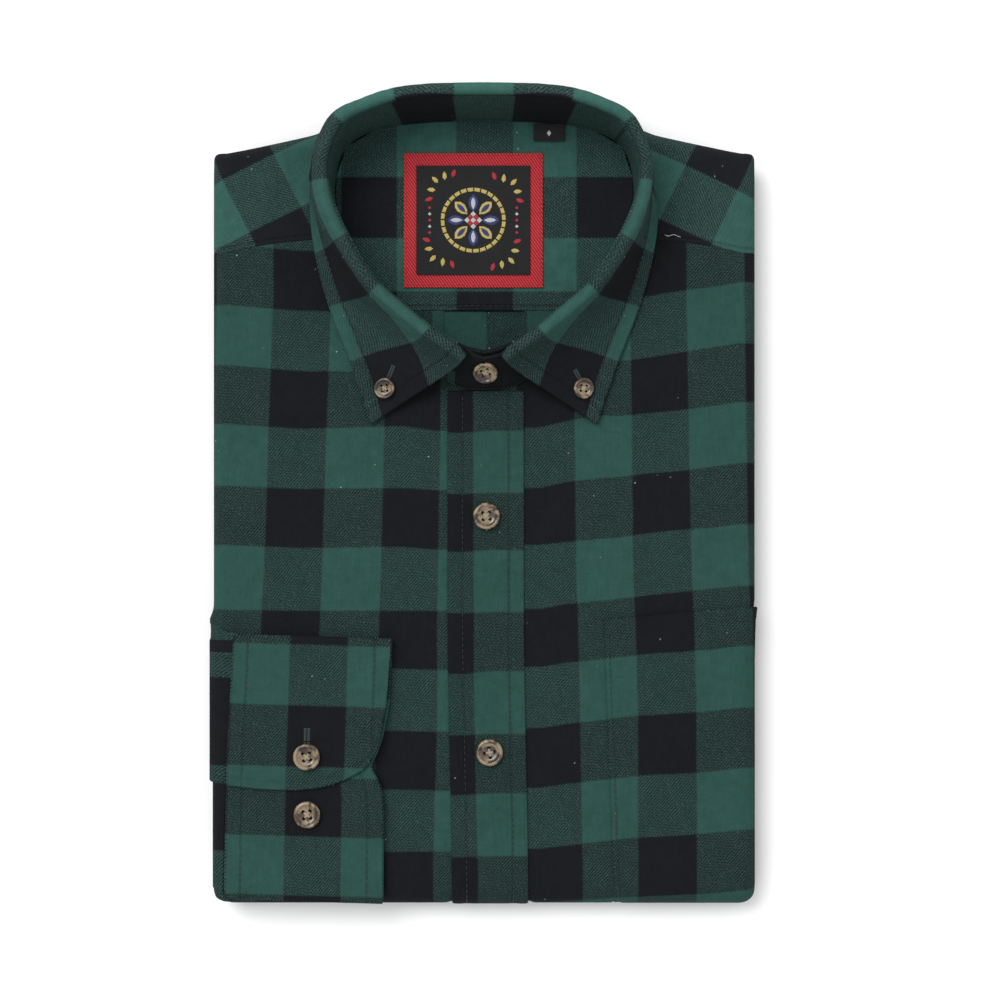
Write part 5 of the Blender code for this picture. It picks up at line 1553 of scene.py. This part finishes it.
def make_seam_thread(sheet):
    """A short white end of sewing thread that lies along the yoke's seam."""
    made = Stitches("seam_thread", THREAD_WHITE, 0.22, 1.15)
    places = [(78.4 + 0.72 * k, 114.4 - 0.42 * sin(k * 0.9) - 0.06 * k) for k in range(10)]
    points = [nearest_face(sheet, x, y, 0.12) for x, y in places]
    for (one, normal), (other, _) in zip(points[:-1], points[1:]):
        made.bead((one + other) / 2, unit(other - one), normal)
    made.build()


def make_buttonhole(name, sheet, start, end, lift, half):
    """A buttonhole in satin stitch: a column of short threads on each side of its slit."""
    made = Stitches(name, THREAD_GREY, 0.42)
    count = int(hypot(end[0] - start[0], end[1] - start[1]) / 0.44)
    along = unit(np.array((end[0] - start[0], end[1] - start[1], 0.0)))
    for k in range(count + 1):
        target = np.array(start) + (np.array(end) - np.array(start)) * k / count
        point, normal = nearest_face(sheet, *target, lift)
        run = unit(along - normal * (along @ normal))
        side = np.cross(normal, run)
        reach, length = (0.5, 1.2) if k in (0, count) else (0.56, 0.98)
        for hand in (-1, 1):
            made.bead(point + side * hand * half * reach, side, normal, half * length)
    made.build()


# ---------------------------------------------------------------- labels

LABEL_LOW, LABEL_HIGH, LABEL_BORDER = np.array((-35.0, 92.2)), np.array((25.4, 150.6)), 5.5
FIELD_TOP = 2 * GAP + 0.9
TAB_LOW, TAB_HIGH = (21.6, 156.0), (34.8, 163.2)


def label_sheet(low, high, lift, step=1.0):
    xs, ys = spaced(low[0], high[0], step), spaced(low[1], high[1], step)
    grid = [[np.array((x, y, inside_height(x, y) + lift)) for x in xs] for y in ys]
    x, y = np.meshgrid(xs, ys)
    return Sheet(grid, (0.0, 0.0), np.dstack([x, -y, np.zeros(x.shape)]))


def make_labels():
    """The red label inside the neck with its black field and motif, and the tab above it."""
    low, high = LABEL_LOW, LABEL_HIGH
    sheet = label_sheet(low, high, GAP + 0.5, 0.8)
    x, y = sheet.grid[..., 0], sheet.grid[..., 1]
    edge = np.minimum.reduce([x - low[0], high[0] - x, y - low[1], high[1] - y])
    uneven = np.vectorize(lambda e, x, y: exp(-(e / 0.7) ** 2) * sin((x + y) * 6.0))
    sheet.lift(0.10 * uneven(edge, x, y))
    obj = sheet.build("label_border", 0.5, LABEL_RED)
    finish_piece(obj, ("label_border",), "label_red", flat=(0.0604, 0.0584), held="laid",
                 rests_on=["yoke_inner"])
    made = Stitches("label_stitches", THREAD_RED, 0.30, 1.6)
    rows, columns = sheet.grid.shape[:2]
    first, last_row, last_column = 1.2, rows - 2.2, columns - 2.2
    corners = [(first, first), (first, last_column), (last_row, last_column), (last_row, first)]
    for one, other in zip(corners, corners[1:] + corners[:1]):
        made.line(sheet, path(one, other, 40), pitch=2.1)
    made.build("label_red")
    sheet = label_sheet(low + LABEL_BORDER, high - LABEL_BORDER, FIELD_TOP)
    obj = sheet.build("label_field", 0.4, LABEL_BLACK)
    finish_piece(obj, ("label_field",), "label_black", flat=(0.0494, 0.0474), held="laid",
                 rests_on=["label_border"])
    sheet = label_sheet(TAB_LOW, TAB_HIGH, GAP + 1.6, 0.6)
    obj = sheet.build("size_tab", 0.6, LABEL_BLACK)
    finish_piece(obj, ("size_tab",), "label_black", flat=(0.0132, 0.0100), held="laid",
                 rests_on=["yoke_inner"])
    make_motif(0.5 * (low + high))


def motif_part(outline, rise, tall=0.22):
    """A flat embroidered shape, a little domed, from its outline."""
    outline = np.array(outline, float)
    middle, count = outline.mean(0), len(outline)
    loops = [(1.0, 0.0), (0.985, 0.7 * tall), (0.90, tall), (0.55, tall * 1.12)]
    points = [(x, y, inside_height(x, y) + FIELD_TOP + rise + level)
              for scale, level in loops for x, y in middle + (outline - middle) * scale]
    points.append((*middle, inside_height(*middle) + FIELD_TOP + rise + tall * 1.15))
    faces = [tuple(range(count))[::-1], *ring_faces(len(loops), count)]
    last = (len(loops) - 1) * count
    faces += [(last + k, last + (k + 1) % count, len(points) - 1) for k in range(count)]
    return np.array(points), faces


def mirrored(half):
    """A closed outline from its right half."""
    return half + [(-x, y) for x, y in half[-2:0:-1]]


def diamond(x, y, reach, rise):
    return [(x - reach, y), (x, y - rise), (x + reach, y), (x, y + rise)]


def spin(points, turn, shift=(0, 0)):
    c, s = cos(turn), sin(turn)
    return [(x * c - y * s + shift[0], x * s + y * c + shift[1]) for x, y in points]


PETAL = mirrored([(0, 3.6), (1.5, 5.4), (2.2, 7.6), (1.7, 9.7), (0, 11.4)])
SMALL_PETAL = mirrored([(0, 4.6), (0.8, 6.2), (1.0, 7.6), (0.7, 9.0), (0, 10.0)])
SPRIG_LEAF = mirrored([(0, 0), (0.95, 1.2), (0.8, 2.7), (0, 3.9)])
SPRIG = ((16.6, 16.6, -45), (13.4, 17.8, -5), (17.8, 13.4, -85), (10.0, 19.0, 20),
         (19.0, 10.0, -110))
RING_PARTS, RING_INSIDE, RING_OUTSIDE = 28, 12.6, 14.2


def make_motif(centre):
    """A generic embroidered rosette: petals round a checked middle, a gold ring and four sprigs."""
    parts = {key: [] for key in MOTIF_THREADS}
    for k in range(8):
        parts["gold" if k % 2 else "blue"].append((spin(PETAL, k * pi / 4), 0.0))
        parts["white" if k % 2 == 0 else "blue"].append((spin(SMALL_PETAL, k * pi / 4), 0.2))
    for k in range(RING_PARTS):
        a, b = 2 * pi * k / RING_PARTS, 2 * pi * (k + 0.82) / RING_PARTS
        corners = ((RING_INSIDE, a), (RING_INSIDE, b), (RING_OUTSIDE, b), (RING_OUTSIDE, a))
        parts["gold"].append(([(r * cos(turn), r * sin(turn)) for r, turn in corners], 0.0))
    for i in range(-1, 2):
        for j in range(-1, 2):
            square = [(i * 1.9 + dx * 0.9, j * 1.9 + dy * 0.9)
                      for dx, dy in ((-1, -1), (1, -1), (1, 1), (-1, 1))]
            parts["red" if (i + j) % 2 else "white"].append((spin(square, pi / 4), 0.1))
    for corner in range(4):
        for number, (x, y, lean) in enumerate(SPRIG):
            leaf = spin(SPRIG_LEAF, radians(lean), (x * 0.98, y * 0.92))
            parts["gold" if number < 3 else "red"].append((spin(leaf, corner * pi / 2), 0.0))
    for side in (-1, 1):
        for k in range(5):
            bead = diamond(side * 19.0, (k - 2) * 2.7, 0.8, 0.8)
            parts["white" if k % 2 else "red"].append((bead, 0.0))
    parts["white"].append((diamond(28.2 - centre[0], 159.2 - centre[1], 1.0, 1.4), 0.72))
    for key, material in MOTIF_THREADS.items():
        points, faces, first = [], [], 0
        for outline, rise in parts[key]:
            placed = np.array(outline, float) + centre
            (x0, y0), (x1, y1) = placed.T, np.roll(placed, -1, axis=0).T
            clockwise = (x0 * y1 - x1 * y0).sum() < 0
            made, made_faces = motif_part(placed[::-1] if clockwise else placed, rise)
            points.append(made)
            faces += [tuple(i + first for i in face) for face in made_faces]
            first += len(made)
        points = np.vstack(points)
        weave = points * (1, -1, 0)
        obj = new_object("label_motif_" + key, points, faces, material, {"weave": weave})
        finish_piece(obj, (), "label_black")


# ---------------------------------------------------------------- the setting, then all of it

def make_floor():
    n = Nodes("paper_floor")
    grain = n.noise(n.node("ShaderNodeTexCoord").outputs["Object"], 9.0, 2.0)
    n.finish(n.grey(n.fit(grain, 0.012, 0.94)), 0.9, Specular_IOR_Level=0.05)
    half = 2.5
    mesh = bpy.data.meshes.new("floor")
    mesh.from_pydata([(-half, -half, 0), (half, -half, 0), (half, half, 0), (-half, half, 0)], [],
                     [(0, 1, 2, 3)])
    mesh.materials.append(n.material)
    floor = linked("floor", mesh)
    floor.location.z = -0.0002


def make_lights():
    """Even light from all round, with a wide, soft sun above the far left."""
    world = bpy.data.worlds.new("studio")
    bpy.context.scene.world = world
    world.use_nodes = True
    background = world.node_tree.nodes["Background"]
    background.inputs["Color"].default_value = (1.0, 1.0, 1.0, 1.0)
    background.inputs["Strength"].default_value = 0.85
    data = bpy.data.lights.new("key", "SUN")
    data.energy, data.angle = 1.9, radians(34.0)
    key = linked("key", data)
    key.rotation_mode = "QUATERNION"
    key.rotation_quaternion = Vector((-0.55, 0.62, 1.25)).to_track_quat("Z", "Y")


def make_camera():
    """Straight above, as in the photograph."""
    data = bpy.data.cameras.new("camera")
    data.lens, data.sensor_width = 98.1, 36.0
    data.clip_start, data.clip_end = 0.05, 20.0
    camera = linked("camera", data)
    camera.location = (0.00767, -0.00094, 1.2)
    bpy.context.scene.camera = camera
    bpy.context.scene.view_settings.view_transform = "Standard"
    bpy.context.scene.view_settings.look = "None"


make_front("front_right", -1)
make_front("front_left", 1)
yoke = make_yoke_outer()
make_placket()
make_pocket()
make_yoke_inner()
make_back()
make_core()
make_stand()
make_seam_thread(yoke)
leaf = make_leaf()
cuff = make_cuff()
make_sleeve()
make_buttons()
for name, sheet, start, end, wall, half in (
        ("collar_right", leaf, (-38.8, 57.5), (-42.0, 50.0), COLLAR_WALL, 0.95),
        ("collar_left", leaf, (39.0, 55.6), (42.0, 50.2), COLLAR_WALL, 0.95),
        ("cuff", cuff, (-76.3, -99.2), (-76.4, -109.5), CUFF_WALL, 1.35)):
    make_buttonhole("buttonhole_" + name, sheet, start, end, wall / 2 + 0.04, half)
make_labels()
make_floor()
make_lights()
make_camera()
